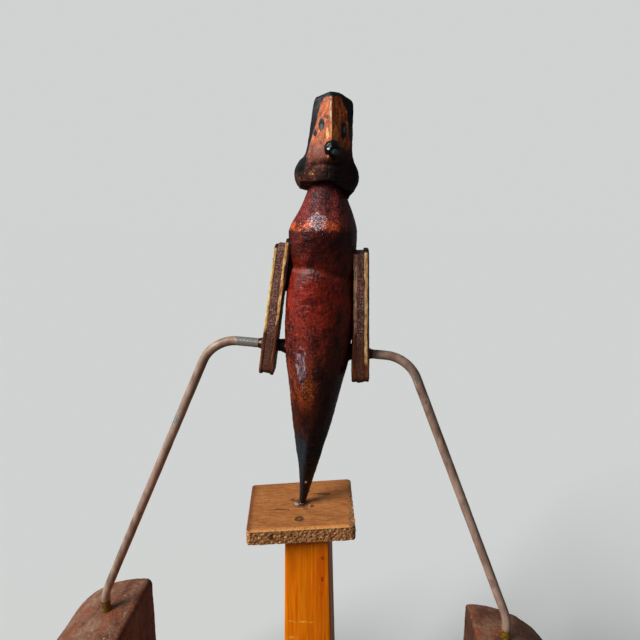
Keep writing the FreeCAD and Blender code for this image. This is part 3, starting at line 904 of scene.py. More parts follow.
def platform_wood():
    """Brown varnished top with fine grain, over rough sawn edges full of pits."""
    g = Graph("platform_wood")
    grain = g.noise(0.5, (8.0, 1.0, 1.0), 4.0, 0.7, seed=1.0)
    patches = g.noise(6.0, (2.5, 1.0, 1.0), 4.0, seed=3.0)
    g.colour = g.tones(grain, (0.32, 168, 96, 44), (0.48, 194, 120, 64), (0.62, 214, 144, 82))
    g.shade(patches, 0.86, 1.12)
    g.shade(g.noise(0.6, detail=4.0, rough=0.75, seed=15.0), 0.9, 1.12)
    # Dark marks on the top; the long one to the right of and behind the pivot is the foot's painted shadow.
    dark_marks_and_foot_shadow = g.spots(
        g.x, g.y, ((-8.0, -5.2), (3.4, 0.5), 0.5, 1.4, 1.0), ((8.6, 7.6), (4.2, 1.0), 0.5, 2.0, 2.0),
        ((-3.9, 2.3), (1.4, 1.1), 0.4, 1.0, 3.0), ((1.6, -3.9), (1.2, 0.7), 0.4, 1.0, 4.0),
        ((4.4, -1.9), (0.9, 1.2), 0.4, 1.0, 12.0)
    )
    g.lay(dark_marks_and_foot_shadow * 0.7, 84, 52, 34)
    rings = [(place, (2.2, 2.2), 0.12, 1.0, 5.0 + i) for i, place in enumerate(NAIL_PLACES)]
    g.lay(g.spots(g.x, g.y, *rings) * 0.5, 96, 54, 26)
    pits = g.noise(0.5, (1.0, 1.0, 1.3), 4.0, 0.75, seed=5.0)
    sawn = g.tones(
        pits, (0.34, 84, 36, 14), (0.45, 158, 96, 50), (0.56, 214, 150, 92), (0.66, 255, 232, 176)
    )
    side = g.stored("side")
    uneven = g.wander(0.7, 0.9, detail=3.0, seed=7.0)
    to_right = g.x + g.y * PLATFORM_RIGHT_SLOPE
    to_front = g.y - g.x * PLATFORM_FRONT_SLOPE + PLATFORM_FRONT_AT
    worn = g.step(to_right + g.y * -WEAR_NARROWING, PLATFORM_RIGHT_AT - 3.3, PLATFORM_RIGHT_AT - 1.3, 0.95)
    # Painted highlight along the top's front edge.
    golden = g.step(to_front, 2.4, 0.8) * g.step(g.noise(1.2, seed=13.0), 0.3, 0.52, 0.95)
    g.lay(golden, 248, 168, 92)
    to_left = g.x - (g.y + PLATFORM_LEFT_AT) * PLATFORM_LEFT_SLOPE
    left_edge = g.step(to_left + uneven * 1.6, -17.2, -19.6, 0.65)
    g.lay(left_edge, 116, 62, 48)
    ragged = g.any(side, worn) + uneven
    g.lay(g.step(ragged, 0.5, 0.75), sawn)
    arris = g.band(side, 0.08, 0.55, 0.08) * g.step(g.noise(1.5, seed=8.0), 0.36, 0.52, 0.85)
    g.lay(arris, 240, 178, 116)
    # A small hole in the front face, drawn only as a dark spot: painted shade.
    hole = g.spot(g.x, g.z, (-10.6, -3.1), (0.9, 1.3), 0.3, 0.9, 9.0)
    on_front = g.step(g.y, -10.0, -12.0)
    on_side = g.step(side, 0.5, 0.8)
    g.lay(hole * on_front * on_side * 0.8, 52, 22, 8)
    chip = g.spot(g.x, g.z, (-9.9, -4.9), (0.8, 0.8), 0.3, 0.9, 11.0)
    g.lay(chip * on_front * on_side, 255, 214, 160)
    roughness = g.step(grain, 0.3, 0.7, 0.2) + g.step(side, 0.2, 0.6, 0.2) + 0.36
    return g.finish(roughness, ((grain, 0.12), (pits, 0.25)), Specular_IOR_Level=0.3)


def pine(name):
    """Glossy orange-yellow varnished pine with upright grain."""
    g = Graph(name)
    grain = g.noise(0.8, (1.0, 1.0, 45.0), 4.0, 0.6, seed=1.0)
    bands = g.noise(3.0, (1.0, 1.0, 60.0), 2.0, seed=2.0)
    g.colour = g.tones(grain, (0.3, 218, 96, 0), (0.5, 242, 122, 0), (0.7, 255, 148, 10))
    g.shade(bands, 0.9, 1.06)
    patches = g.noise(9.0, (1.0, 1.0, 3.0), 3.0, seed=4.0)
    g.shade(patches, 0.86, 1.06)
    # Painted light and shade: lighter on the left, darker and greyer to the right.
    across = g.ramp(g.step(g.x, -6.0, 13.0), (0.0, (1.12, 1.12, 1.12, 1.0)), (1.0, (0.88, 0.85, 0.8, 1.0)))
    g.colour = g.multiply(across)
    flame = g.spot(g.x, g.z, (9.4, -21.0), (1.7, 11.0), 0.4, 3.0, 7.0)
    g.lay(flame * 0.4, 206, 74, 2)
    knots = g.spots(g.x, g.z, *[(place, (0.7, 1.1), 0.4, 1.0, 6.0) for place in POST_KNOTS])
    g.lay(knots * 0.6, 128, 38, 0)
    scuffs = g.spots(g.x, g.z, *[(*scuff, 0.4, 1.2, 5.0 + i) for i, scuff in enumerate(POST_SCUFFS)])
    scuffs = scuffs * g.step(g.noise(0.8, seed=9.0), 0.46, 0.54, 0.85) * g.step(g.y, -8.0, -10.0)
    g.lay(scuffs, 255, 192, 72)
    roughness = g.step(patches, 0.3, 0.7, 0.12) + 0.2
    return g.finish(roughness, ((grain, 0.04), (patches, 0.25)), Specular_IOR_Level=0.25)


def tarnished(name, dark, light, metallic, rough):
    """Worn metal in two tones."""
    g = Graph(name, own=False)
    patches = g.noise(1.6, detail=4.0, seed=1.0)
    g.colour = g.ramp(patches, (0.4, dark), (0.62, light))
    roughness = g.step(patches, 0.3, 0.7, -0.15) + rough
    scratches = g.noise(0.5, detail=3.0, seed=4.0)
    return g.finish(roughness, ((scratches, 0.04),), Metallic=metallic)


def cup_finish():
    """A stained, glue-smeared metal cup: brown like the wood at its rim, dark in its middle."""
    g = Graph("cup_steel", own=False)
    patches = g.noise(1.3, detail=4.0, seed=1.0)
    uneven = g.reach(g.x, g.y) + (patches - 0.5) * 3.0
    g.colour = g.tones(
        uneven / 5.0, (0.16, 44, 28, 18), (0.36, 120, 74, 42), (0.6, 160, 100, 56), (0.84, 184, 116, 62)
    )
    scratches = g.noise(0.6, detail=4.0, rough=0.7, seed=4.0)
    g.shade(scratches, 0.6, 1.4)
    # Pale spots: partly bare metal, partly painted glint.
    bright = g.spots(
        g.x, g.y, ((-2.4, -0.6), (1.2, 1.3), 0.4, 0.9, 1.0), ((3.2, -1.4), (0.35, 0.3), 0.3, 0.9, 2.0)
    )
    g.lay(bright, 232, 200, 184)
    return g.finish(0.6 - bright * 0.15, ((patches, 0.2), (scratches, 0.1)), Metallic=0.3 - bright * 0.2)


def nail_finish(places):
    """Dull nail heads: grey-brown in the middle, dark round it, and varnished over at the rim."""
    g = Graph("nail_steel", own=False)
    patches = g.noise(0.9, detail=4.0, seed=1.0)
    nearest = None
    for x, y in places:
        reach = g.reach(g.x - x, g.y - y)
        nearest = g.math("MINIMUM", nearest, reach) if nearest else reach
    uneven = nearest + (patches - 0.5) * 0.9
    g.colour = g.tones(
        uneven / 2.2, (0.28, 160, 116, 74), (0.46, 120, 84, 52), (0.62, 58, 34, 18), (0.8, 176, 108, 58)
    )
    return g.finish(patches * 0.3 + 0.4, ((patches, 0.1),), Metallic=g.step(uneven, 1.4, 1.0, 0.4))


def plain_wood(name, dark, light):
    """Bare wood with upright grain."""
    g = Graph(name, own=False)
    grain = g.noise(0.7, (1.0, 1.0, 10.0), 4.0, seed=1.0)
    g.colour = g.ramp(grain, (0.35, dark), (0.65, light))
    roughness = g.step(grain, 0.3, 0.7, 0.2) + 0.5
    return g.finish(roughness, ((grain, 0.06),))


def glue(name, dark, light):
    """Set glue, lumpy and half clear."""
    g = Graph(name)
    lumpy = g.noise(1.0, detail=3.0, seed=2.0)
    g.colour = g.ramp(lumpy, (0.35, dark), (0.62, light))
    roughness = g.step(lumpy, 0.3, 0.7, 0.15) + 0.2
    return g.finish(roughness, ((lumpy, 0.2),))


BODY_CIRCLE = circle(200)


def body_rows():
    """Rings up the carved body, from the ball's room under the foot to inside the head."""
    rows = []
    for share in (0.2, 0.45, 0.7, 0.88):
        radius = BALL_ROOM * share
        height = math.sqrt(BALL_ROOM ** 2 - radius ** 2) - BALL_DROP
        rows.append([(radius * x, radius * y, height) for x, y in BODY_CIRCLE])
    heights = [LEG[0][0]] + steps(LEG[0][0] + 0.25, WAIST, BODY_STEP)
    heights += steps(WAIST, SHOULDER, BODY_STEP)[1:] + steps(SHOULDER, NECK[-1][0], BODY_STEP)[1:]
    rows += [[clear_of_ball(body_point(x, y, height)) for x, y in BODY_CIRCLE] for height in heights]
    return rows


def clear_of_ball(point):
    """A point of the foot, moved away from the ball where it would stand too close to it."""
    middle = Vector((0.0, 0.0, -BALL_DROP))
    arm = Vector(point) - middle
    return middle + arm * max(1.0, BALL_ROOM / arm.length)


def body_size(level):
    """How far to the right of the pivot the body's middle is at a level, and its radius there."""
    part = LEG if level < WAIST else CHEST if level < SHOULDER else NECK
    return through(part, level)


def body_point(x, y, height):
    """A point of the body, with the carver's flats and a waist groove that slants down to the right."""
    centre, r = body_size(height)
    slant = GROOVE_SLANT * max(centre + r * x - GROOVE_LEVEL_TO, 0.0)
    level = height + slant * math.exp(-((height - WAIST + 0.5 * slant) / 7.0) ** 2)
    centre, r = body_size(min(level, max(height, SHOULDER - 0.01)))
    fade = eased(height / 12.0)
    r += 0.3 * fade * lumps((10 * x, 10 * y, 0.3 * height), 6.0, 3.0, 2)
    r += 0.1 * fade * lumps((13 * x, 13 * y, height), 3.0, 5.0, 2)
    r += 0.05 * fade * lumps((13 * x, 13 * y, height), 0.8, 7.0, 2)
    groove = math.exp(-((level - WAIST - 0.6) / 1.5) ** 2)
    r -= FRONT_GROOVE * groove * eased(-1.3 * y)
    rough_side = eased(-1.4 * x - 0.4) * eased((height - 24) / 10) * eased((86 - height) / 12)
    r += 0.16 * rough_side * lumps((13 * x, 13 * y, height), 1.1, 9.0, 3)
    return (centre + r * x, r * y, height)


def make_body(material):
    """The carved body."""
    rows = body_rows()
    add_piece("carved_body", rows, same_place, material, "figure", ["figure_body"], sharp=40.0)


def head_place(point):
    """The head's own millimetres to millimetres from the platform's top."""
    turned = rotated(point, HEAD_TURN, "Z")
    return rotated(turned, HEAD_LEAN, "Y") + Vector(HEAD_AT)


def head_outline(height):
    """Points round the head at one height on its axis, from the ridge to the right and round."""
    ridge, front_u, front_v, side_u, side_v, back = through(HEAD_ROWS, height)
    chamfer = min(3.0, side_u * 0.6)
    shift = -JOWL_SHIFT * (1 - eased((height - 11) / 4))
    flat = RIDGE_WIDTH / 2
    ridge_u = RIDGE_LEAN * max(height - RIDGE_BEND, 0.0)
    fuller = RIGHT_JOWL * eased((5.0 - height) / 4.0)
    corners = (
        (ridge_u + flat, 0.25 * flat - ridge),
        (front_u + fuller, -front_v),
        (side_u + fuller, -side_v),
        (side_u, back - chamfer),
        (side_u - chamfer, back),
        (chamfer - side_u, back),
        (-side_u, back - chamfer),
        (-side_u, -side_v),
        (-front_u, -front_v),
        (ridge_u - flat, 0.25 * flat - ridge),
    )
    points = []
    for i, count in enumerate(HEAD_COUNTS):
        a = Vector(corners[i])
        b = Vector(corners[(i + 1) % len(corners)])
        points += [lerp(a, b, k / count) + Vector((shift, 0)) for k in range(count)]
    reach = MUZZLE_ROUND * eased((MUZZLE_TOP - height) / 3.5)
    if reach > 0.1:
        slope = (ridge - front_v) / front_u
        for p in points:
            aside = abs(p.x - shift - ridge_u)
            if p.y < 0 and aside < reach:
                p.y += slope * (reach - aside) ** 2 / (2 * reach)
    return points


def side_share():
    """For each point of the head's outline: 0 on the two front faces, 1 on the sides and back."""
    face = HEAD_COUNTS[0]
    sides = sum(HEAD_COUNTS[1:-2]) + 1
    return [0.0] * (face - 2) + [0.25, 0.6] + [1.0] * sides + [0.6, 0.25] + [0.0] * (face - 1)


def head_rows():
    """Rings up the head, each point from the sloping joint with the neck to the crown."""
    slope = math.tan(math.radians(CHIN_SLOPE))
    lows = []
    for p in head_outline(1.5):
        low = CHIN_HEIGHT + max(-p.y, 0.0) * slope + CHIN_TILT * p.x - CHIN_DROP * eased((p.x + 2) / 5)
        lows.append(low + CHIN_ARCH * math.exp(-((p.x - 1.4) / 3.4) ** 2) * eased(-p.y / 4.0))
    rows = []
    for t in steps(0.0, 1.0, 1 / HEAD_RINGS):
        share = eased(t) * 0.25 + t * 0.75
        heights = [lerp(low, HEAD_ROWS[-1][0], share) for low in lows]
        rows.append([(*head_outline_at(height, j), height) for j, height in enumerate(heights)])
    return rows


HEAD_CACHE = {}


def head_outline_at(height, index):
    """One point of the outline, between outlines kept for every 0.1 mm of height."""
    low = math.floor(height * 10)
    for key in (low, low + 1):
        if key not in HEAD_CACHE:
            HEAD_CACHE[key] = head_outline(min(max(key / 10, HEAD_ROWS[0][0]), HEAD_ROWS[-1][0]))
    return lerp(HEAD_CACHE[low][index], HEAD_CACHE[low + 1][index], height * 10 - low)


def head_relief(p):
    """Carving marks on the head, and the crease between muzzle and jaw."""
    crease = math.exp(-((p.z - 9.4 - 0.06 * p.x) / 0.7) ** 2)
    crease = crease * eased((6.5 - abs(p.x + 1.5)) / 3) * eased(-p.y / 6)
    lower = eased((16 - p.z) / 5)
    rough = 0.12 + 0.04 * lower
    return rough * lumps(p, 2.2, 4.0, 3) + 0.05 * lumps(p, 0.8, 6.0, 2) * lower - 0.4 * crease


def make_head(material):
    """The carved head."""
    rows = head_rows()
    head = add_piece(
        "carved_head", rows, head_place, material, "figure", ["head"],
        sharp=35.0, relief=head_relief,
    )
    store_side(head, side_share() * len(rows))


def make_nose(material):
    """The black nose, a slightly flattened ball."""
    rows = []
    for up in steps(-88.0, 88.0, 5.0):
        a = math.radians(up)
        ring = []
        for x, y in circle(56):
            unit = Vector((math.cos(a) * x, math.cos(a) * y, math.sin(a)))
            size = 1 + 0.1 * lumps(unit * 3, 2.0, 2.0, 2)
            ring.append([n + r * u * size for n, r, u in zip(NOSE_AT, NOSE_RADII, unit)])
        rows.append(ring)
    add_piece("round_nose", rows, head_place, material, "figure", ["nose"])


def wire_height(x):
    """Height of the wire's straight middle."""
    (x0, z0), (x1, z1) = WIRE_CORNERS[2:4]
    return z0 + (z1 - z0) * (x - x0) / (x1 - x0)


def arm_place(side):
    """Turns an arm's own millimetres (outward, back, up from its foot) into its place."""
    pivot = (side["centre"], 0.0, wire_height(side["centre"]))

    def place(point):
        x = side["centre"] + side["sign"] * point[0]
        return rotated((x, point[1], side["foot"] + point[2]), side["lean"], "Y", pivot)

    return place


def ply_rows(side, index):
    """Rings of one ply, in the arm's own millimetres: outward, back, and up from its foot."""
    shares = [ply[0] for ply in side["plies"]]
    share, top, foot = side["plies"][index]
    start = sum(shares[:index])
    length = side["length"]
    half = ARM_DEPTH / 2 - 0.15 * (index == 1)
    outline = rounded_corners(rectangle(half, foot, length + top), 3.4, 0.5)
    thick = 6.0 * share
    rows = slab_rows(outline, 0.0, thick, (0.5, 0.2, 0.3)[index], 0.4, (0.0, length / 2))
    shaped = []
    for row in rows:
        ring = []
        for across, up, deep in row:
            rise = min(max(up / length, 0.0), 1.0)
            outer = lerp(side["bottom"][0], side["top"][0], rise)
            inner = lerp(side["bottom"][1], side["top"][1], rise)
            within = 1.0 - deep / thick
            out = outer - (outer + inner) * (start + share * within) - PLY_GAP * (within - 0.5)
            if index == 2:
                out -= side["swell"] * within * eased((up - 31.0) / 8.0)
            ring.append((out, across, up))
        shaped.append(ring)
    return shaped


def ply_relief(p, seed):
    """How a ply's foot and back edge are broken, and a little roughness elsewhere."""
    foot = eased((3.0 - p.z) / 3.0)
    back = eased((p.y - ARM_DEPTH / 2 + 1.0) / 1.0)
    broken = abs(lumps((p.x, p.y * 0.6, 0.0), 1.3, seed, 2))
    torn = abs(lumps((p.x, 0.0, p.z), 1.6, seed + 5.0, 3))
    return 0.07 * lumps(p, 1.2, seed, 3) - 0.9 * foot * broken - 0.5 * back * torn


def make_arm(name, side, materials, node):
    """One plywood arm as three plies."""
    place = arm_place(side)
    for index, part in enumerate(("outer", "core", "inner")):
        add_piece(
            f"{name}_{part}_ply", ply_rows(side, index), place, materials[index], "figure", [node],
            relief=lambda p, seed=3.0 + index: ply_relief(p, seed),
        )


def wire_path():
    """Points and directions along the bent wire, about 0.8 mm apart."""
    corners = [Vector((x, 0, z)) for x, z in WIRE_CORNERS]
    radii = (WIRE_FOOT_BEND, WIRE_BEND, WIRE_BEND, WIRE_FOOT_BEND)
    path = []
    start = corners[0]
    step = 0.8
    for before, corner, after, radius in zip(corners, corners[1:], corners[2:], radii):
        into = (corner - before).normalized()
        out = (after - corner).normalized()
        turn = into.angle(out)
        setback = radius * math.tan(turn / 2)
        enter = corner - into * setback
        path += [(lerp(start, enter, t), into) for t in steps(0, 1, step / (enter - start).length)[:-1]]
        axis = into.cross(out).normalized()
        centre = enter + axis.cross(into) * radius
        for t in steps(0, 1, step / (turn * radius))[:-1]:
            spin = Matrix.Rotation(turn * t, 3, axis)
            path.append((centre + spin @ (enter - centre), spin @ into))
        start = centre + Matrix.Rotation(turn, 3, axis) @ (enter - centre)
    into = (corners[-1] - corners[-2]).normalized()
    path += [(lerp(start, corners[-1], t), into) for t in steps(0, 1, step / (corners[-1] - start).length)]
    return path


def make_wire(material):
    """The bent rod, not quite even along its length."""
    path = wire_path()
    rows = tube_rows(path, WIRE_RADIUS, 28)
    add_piece(
        "bent_wire", rows, same_place, material, "figure", ["balance_wire"],
        relief=lambda p: 0.05 * lumps(p, 6.0, 1.0, 2) + 0.02 * lumps(p, 1.2, 2.0, 2) - 0.03,
    )


def sleeve_rows(start, end, radius):
    """Rings of a short tube round the wire's straight middle, in steps of 0.4 mm."""
    a = Vector((start, 0, wire_height(start)))
    b = Vector((end, 0, wire_height(end)))
    direction = (b - a).normalized()
    path = [(lerp(a, b, t), direction) for t in steps(0, 1, 0.4 / (b - a).length)]
    shares = [i / (len(path) - 1) for i in range(len(path))]
    return tube_rows(path, lambda i: radius(shares[i]), 40)


def waist_lump_rows():
    """Rings of a dark lump between the left arm's inner face and the body's waist."""
    place = arm_place(LEFT_ARM)
    rows = []
    for share in steps(0.0, 1.0, 1 / 30):
        arm_side = place((-LEFT_ARM["top"][1] - LEFT_ARM["swell"], 0.0, lerp(34.0, 47.0, share)))
        centre, radius = body_size(arm_side.z)
        body_side = centre - radius + 0.6
        full = max(1 - abs(2 * share - 1) ** 4, 0.02)
        middle = (arm_side.x + body_side) / 2
        half = max(body_side - arm_side.x, 0.4) / 2 + 0.3 * full
        deep = 3.6 * math.sqrt(full)
        rows.append([(middle + half * x, deep * y, arm_side.z) for x, y in circle(28)])
    return rows


def make_sleeves(collar, dark_glue):
    """Black collars between body and arms, a dark lump at the waist, and glue on the wire at body and arms.
    """
    lumpy = lambda p: 0.22 * lumps(p, 1.6, 5.0, 3)
    even = lambda share: COLLAR_RADIUS - 0.1
    for side, start, end in (("left", -10.9, -4.1), ("right", 17.2, 22.4)):
        add_piece(
            f"{side}_sleeve", sleeve_rows(start, end, even), same_place, collar, "figure",
            [f"{side}_collar"], relief=lumpy,
        )
    add_piece(
        "waist_dark_lump", waist_lump_rows(), same_place, dark_glue, "figure",
        relief=lambda p: 0.2 * lumps(p, 1.6, 7.0, 3),
    )
    for name, start, end, proud in (
        ("left_body_glue", -3.8, -7.6, 1.5),
        ("right_body_glue", 16.8, 22.6, 3.0),
        ("left_arm_glue", -14.9, -16.9, 0.3),
        ("right_arm_glue", 26.6, 28.6, 0.1),
    ):
        around = COLLAR_RADIUS if "body" in name else WIRE_RADIUS + 0.04
        flare = proud + (0.7 if "arm" in name else 0.0)
        fillet = lambda share, around=around, flare=flare: around + flare * (1 - share) ** 2
        rough = lambda p, rise=0.35 if "body" in name else 0.12: rise * lumps(p, 1.4, 6.0, 3)
        rows = sleeve_rows(start, end, fillet)
        add_piece(name, rows, same_place, dark_glue, "figure", relief=rough)


def weight_outline(side, step):
    """The weight's front outline, anticlockwise: flat inner face, arched top and flat underside."""
    inner = side["inner"]
    sign = side["sign"]
    top = side["top"]
    low = top - side["height"]
    middle = inner + sign * side["crown"]
    outer = middle + sign * WEIGHT_ARCH
    corner = side["corner"]
    points = []
    for turn in steps(0.0, 90.0, 12.0):
        a = math.radians(turn)
        points.append((inner + sign * corner * (1 - math.cos(a)), top - corner * (1 - math.sin(a))))
    for turn in steps(0.0, 90.0, math.degrees(step / WEIGHT_ARCH)):
        a = math.radians(turn)
        points.append((middle + sign * WEIGHT_ARCH * math.sin(a), top - WEIGHT_ARCH * (1 - math.cos(a))))
    points += [(outer, z) for z in steps(top - WEIGHT_ARCH, low + 1.0, step)[1:]]
    points += [(x, low) for x in steps(outer - sign * 1.0, inner + sign * 1.0, step)]
    points += [(inner, z) for z in steps(low + 1.0, top - corner, step)[:-1]]
    points = [Vector(p) for p in points]
    return points if sign < 0 else points[::-1]


def make_weight(name, side, material, node):
    """One wooden weight with worn edges."""
    outline = weight_outline(side, 0.9)
    middle = (side["inner"] + side["sign"] * 0.46 * WEIGHT_ARCH, side["top"] - 0.55 * side["height"])
    half = side["depth"] / 2
    rows = slab_rows(outline, -half, half, 1.0, 0.9, middle)
    rows = [[(x, -deep, z) for x, z, deep in row] for row in rows]
    add_piece(
        name, rows, same_place, material, "figure", [node],
        relief=lambda p: 0.16 * lumps(p, 2.5, 4.0, 3) + 0.12 * lumps(p, 9.0, 8.0, 2) - 0.25,
    )


def make_weight_glue(material):
    """A bead of glue where the wire enters each weight."""
    for name, x, side in (
        ("left_weight_glue", WIRE_CORNERS[0][0], LEFT_WEIGHT),
        ("right_weight_glue", WIRE_CORNERS[-1][0], RIGHT_WEIGHT),
    ):
        tall = side["glue"]
        reach = abs(x - side["inner"]) - side["crown"]
        surface = side["top"] - WEIGHT_ARCH + math.sqrt(WEIGHT_ARCH ** 2 - reach ** 2)
        path = [(Vector((x, 0, surface - 1.0 + tall * t)), Vector((0, 0, 1))) for t in steps(0, 1, 0.06)]
        last = len(path) - 1
        add_piece(
            name, tube_rows(path, lambda i: WIRE_RADIUS + 0.06 + 0.3 * (1 - i / last) ** 2.5, 32), same_place,
            material, "figure", relief=lambda p: 0.08 * lumps(p, 1.6, 3.0, 3),
        )


def platform_rows():
    """Rings of the platform, with a hole in its top for the pivot cup."""
    outline = rounded_corners(PLATFORM_CORNERS, 2.0, 0.4)
    rows = slab_rows(outline, -PLATFORM_THICK, 0.0, 0.45, 0.4, (0.0, 0.0), CUP_HOLE)
    rows = [[Vector(p) for p in row] for row in rows]
    rim = [Vector((p.x, p.y, 0)).normalized() for p in rows[-1]]
    low = -CUP_HOLE_DEPTH
    for radius, height in ((CUP_REACH, -0.1), (CUP_REACH, -0.6), (CUP_REACH, low), (2.0, low)):
        rows.append([d * radius + Vector((0, 0, height)) for d in rim])
    return rows


def platform_wear(p):
    """How far the wood is worn away along the top of the right edge."""
    inside = PLATFORM_RIGHT_AT - p.x - PLATFORM_RIGHT_SLOPE * p.y
    reach = WEAR_REACH - WEAR_NARROWING * p.y
    place = eased((reach - inside) / WEAR_REACH) * eased((p.z + 2.4) / 1.8)
    return WEAR_DEPTH * place * (0.8 + 0.8 * lumps(p, 1.2, 8.0, 3))


def platform_relief(p):
    """Saw marks and pits on the sides, fine grain on top, and a thin broken rim over the cup."""
    reach = math.hypot(p.x, p.y)
    worn = max(platform_wear(p), 0.0)
    if p.z < -0.05 and reach < CUP_REACH + 0.1:
        return 0.0
    if p.z < -0.6:
        pits = min(0.0, lumps(p, 0.9, 2.0, 3) - 0.05)
        return 0.7 * pits + 0.12 * lumps((p.x, p.y, 0.4 * p.z), 1.5, 3.0, 2) - 0.05 - worn
    over_cup = eased((CUP_REACH + 0.5 - reach) / 0.5)
    broken = over_cup * max(0.0, lumps(p, 1.4, 5.0, 2) + 0.1)
    grain = 0.03 * lumps((0.1 * p.x, p.y, 0.0), 0.8, 6.0, 2) - 0.03
    return grain + 0.07 * over_cup - 0.3 * broken - worn


def make_platform(material):
    """The hand-sawn platform."""
    rows = platform_rows()
    platform = add_piece(
        "sawn_platform", rows, same_place, material, "stand", ["platform"],
        relief=platform_relief,
    )
    values = []
    for row in rows:
        for p in row:
            values.append(eased(-p.z / 0.7) if math.hypot(p.x, p.y) > CUP_HOLE + 0.5 else 0.3)
    store_side(platform, values)


def make_post(material):
    """The tapered post, with slightly uneven arrises."""
    top = -PLATFORM_THICK
    foot = FLOOR + BASE_THICK
    outline = rounded_corners(rectangle(0.5, -0.5, 0.5), 0.035, 0.05)
    rows = []
    for share in steps(0.0, 1.0, 1 / 150):
        ends = zip(POST_FOOT + POST_AT_FOOT, POST_TOP + POST_AT_TOP)
        size_x, size_y, x, y = [lerp(low, high, share) for low, high in ends]
        rows.append([(x + size_x * p.x, y + size_y * p.y, lerp(foot, top, share)) for p in outline])
    about = (POST_AT_FOOT[0], POST_AT_FOOT[1], 0.0)
    place = lambda p: rotated(p, POST_TURN, "Z", about)
    add_piece(
        "pine_post", rows, place, material, "stand", ["post"],
        relief=lambda p: 0.08 * lumps((p.x, p.y, 0.15 * p.z), 3.0, 2.0, 2) - 0.08,
    )


def make_base(material):
    """The square base block."""
    half = BASE_SIDE / 2
    outline = rounded_corners(rectangle(half, -half, half), 4.0, 1.2)
    rows = slab_rows(outline, FLOOR, FLOOR + BASE_THICK, 2.0, 1.2, (0.0, 0.0))
    add_piece(
        "base_slab", rows, same_place, material, "stand", ["base_block"],
        relief=lambda p: 0.08 * lumps(p, 8.0, 3.0, 2) - 0.1 if p.z > FLOOR + 0.5 else 0.0,
    )


def dress(node, material):
    """Gives a CAD node that stays its finish."""
    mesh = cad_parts[node].data
    if not mesh.materials:
        mesh.materials.append(material)
    for i in range(len(mesh.materials)):
        mesh.materials[i] = material


def seen_share(tree):
    """1 for rays straight to the camera or through glass, and a share of it for mirrored ones."""
    rays = tree.nodes.new("ShaderNodeLightPath").outputs
    mirrored = tree.nodes.new("ShaderNodeMath")
    mirrored.operation = "MULTIPLY"
    mirrored.inputs[1].default_value = MIRRORED_SHARE
    tree.links.new(rays["Is Glossy Ray"], mirrored.inputs[0])
    share = rays["Is Camera Ray"]
    for other in (mirrored.outputs[0], rays["Is Transmission Ray"]):
        larger = tree.nodes.new("ShaderNodeMath")
        larger.operation = "MAXIMUM"
        tree.links.new(share, larger.inputs[0])
        tree.links.new(other, larger.inputs[1])
        share = larger.outputs[0]
    return share


def two_tones(tree, target, unseen, seen):
    """Gives a colour socket one tone for the light it sends on and another for how it looks."""
    mix = tree.nodes.new("ShaderNodeMix")
    mix.data_type = "RGBA"
    tree.links.new(seen_share(tree), mix.inputs[0])
    mix.inputs[6].default_value = unseen
    mix.inputs[7].default_value = seen
    tree.links.new(mix.outputs[2], target)


def make_floor():
    """Pale floor that runs into the colour of the background."""
    corners = [(x, y, 0) for x, y in rectangle(FLOOR_REACH, -FLOOR_REACH, FLOOR_REACH)]
    mesh = bpy.data.meshes.new("floor")
    mesh.from_pydata(corners, [], [(0, 1, 2, 3)])
    floor = bpy.data.objects.new("floor", mesh)
    bpy.context.scene.collection.objects.link(floor)
    material = bpy.data.materials.new("floor")
    material.use_nodes = True
    tree = material.node_tree
    tree.nodes.clear()
    diffuse = tree.nodes.new("ShaderNodeBsdfDiffuse")
    two_tones(tree, diffuse.inputs["Color"], FLOOR_SENT, FLOOR_SEEN)
    output = tree.nodes.new("ShaderNodeOutputMaterial")
    tree.links.new(diffuse.outputs[0], output.inputs[0])
    mesh.materials.append(material)


def make_world():
    """Pale grey surroundings."""
    world = bpy.data.worlds.new("studio")
    bpy.context.scene.world = world
    world.use_nodes = True
    two_tones(world.node_tree, world.node_tree.nodes["Background"].inputs[0], WORLD_SENT, WORLD_SEEN)


def add_sun(name, sun):
    """One very large soft light. Its aim is the way its light travels."""
    lamp = bpy.data.lights.new(name, "SUN")
    lamp.energy = sun["watts"]
    lamp.angle = math.radians(sun["angle"])
    aim = Vector(sun["aim"])
    holder = bpy.data.objects.new(name, lamp)
    holder.location = -aim
    holder.rotation_euler = aim.to_track_quat("-Z", "Y").to_euler()
    bpy.context.scene.collection.objects.link(holder)


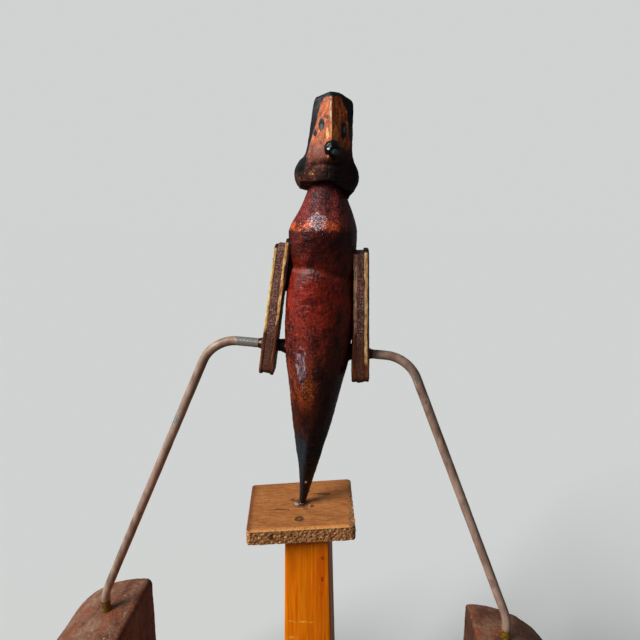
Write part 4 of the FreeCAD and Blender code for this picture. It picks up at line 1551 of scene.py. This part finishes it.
def make_camera():
    """The photograph's viewing angle."""
    lens = bpy.data.cameras.new("camera")
    lens.lens = CAMERA_LENS
    lens.sensor_width = CAMERA_SENSOR
    lens.clip_start = 0.01
    camera = bpy.data.objects.new("camera", lens)
    camera.location = CAMERA_PLACE
    camera.rotation_euler = (math.radians(90 - CAMERA_DOWN), 0, math.radians(CAMERA_TURN))
    bpy.context.scene.collection.objects.link(camera)
    bpy.context.scene.camera = camera


def main():
    """Makes the surroundings and every visible piece."""
    make_camera()
    make_floor()
    make_world()
    add_sun("key", KEY)
    add_sun("side", SIDE)
    bpy.context.scene.view_settings.view_transform = "Standard"

    make_body(body_wood())
    make_head(head_wood())
    make_nose(nose_black())
    core = arm_core()
    left_outer = arm_face("left_outer_ply", -9.0, 9.0, 19.0, 70.0, (255, 202, 122))
    left_inner = arm_face("left_inner_ply", -2.4, -1.35, 21.0, 70.0, (255, 184, 104))
    right_outer = arm_face("right_outer_ply", 1.2, 2.3, 8.0, 70.0, (255, 190, 122))
    right_inner = arm_face("right_inner_ply", -2.9, 9.0, 20.0, 70.0, (255, 186, 144))
    make_arm("left_arm", LEFT_ARM, (left_outer, core, left_inner), "left_arm")
    make_arm("right_arm", RIGHT_ARM, (right_outer, core, right_inner), "right_arm")
    make_sleeves(collar_black(), glue("dark_glue", srgb(20, 9, 5), srgb(70, 36, 20)))
    make_wire(wire_steel())
    weight = weight_wood()
    make_weight("left_block", LEFT_WEIGHT, weight, "left_weight")
    make_weight("right_block", RIGHT_WEIGHT, weight, "right_weight")
    make_weight_glue(glue("yellow_glue", srgb(84, 52, 4), srgb(126, 98, 30)))
    make_platform(platform_wood())
    make_post(pine("post_pine"))
    make_base(pine("base_wood"))

    dress("pivot_cup", cup_finish())
    dress("platform_nails", nail_finish(NAIL_PLACES))
    dress("pivot_ball", tarnished("tip_steel", srgb(150, 150, 150), srgb(200, 200, 200), 1.0, 0.25))
    steel = tarnished("plain_steel", srgb(120, 118, 112), srgb(176, 174, 170), 0.9, 0.4)
    dress("foot_pin", steel)
    dress("base_screws", steel)
    dress("neck_dowel", plain_wood("dowel_wood", srgb(150, 108, 62), srgb(196, 158, 108)))


main()
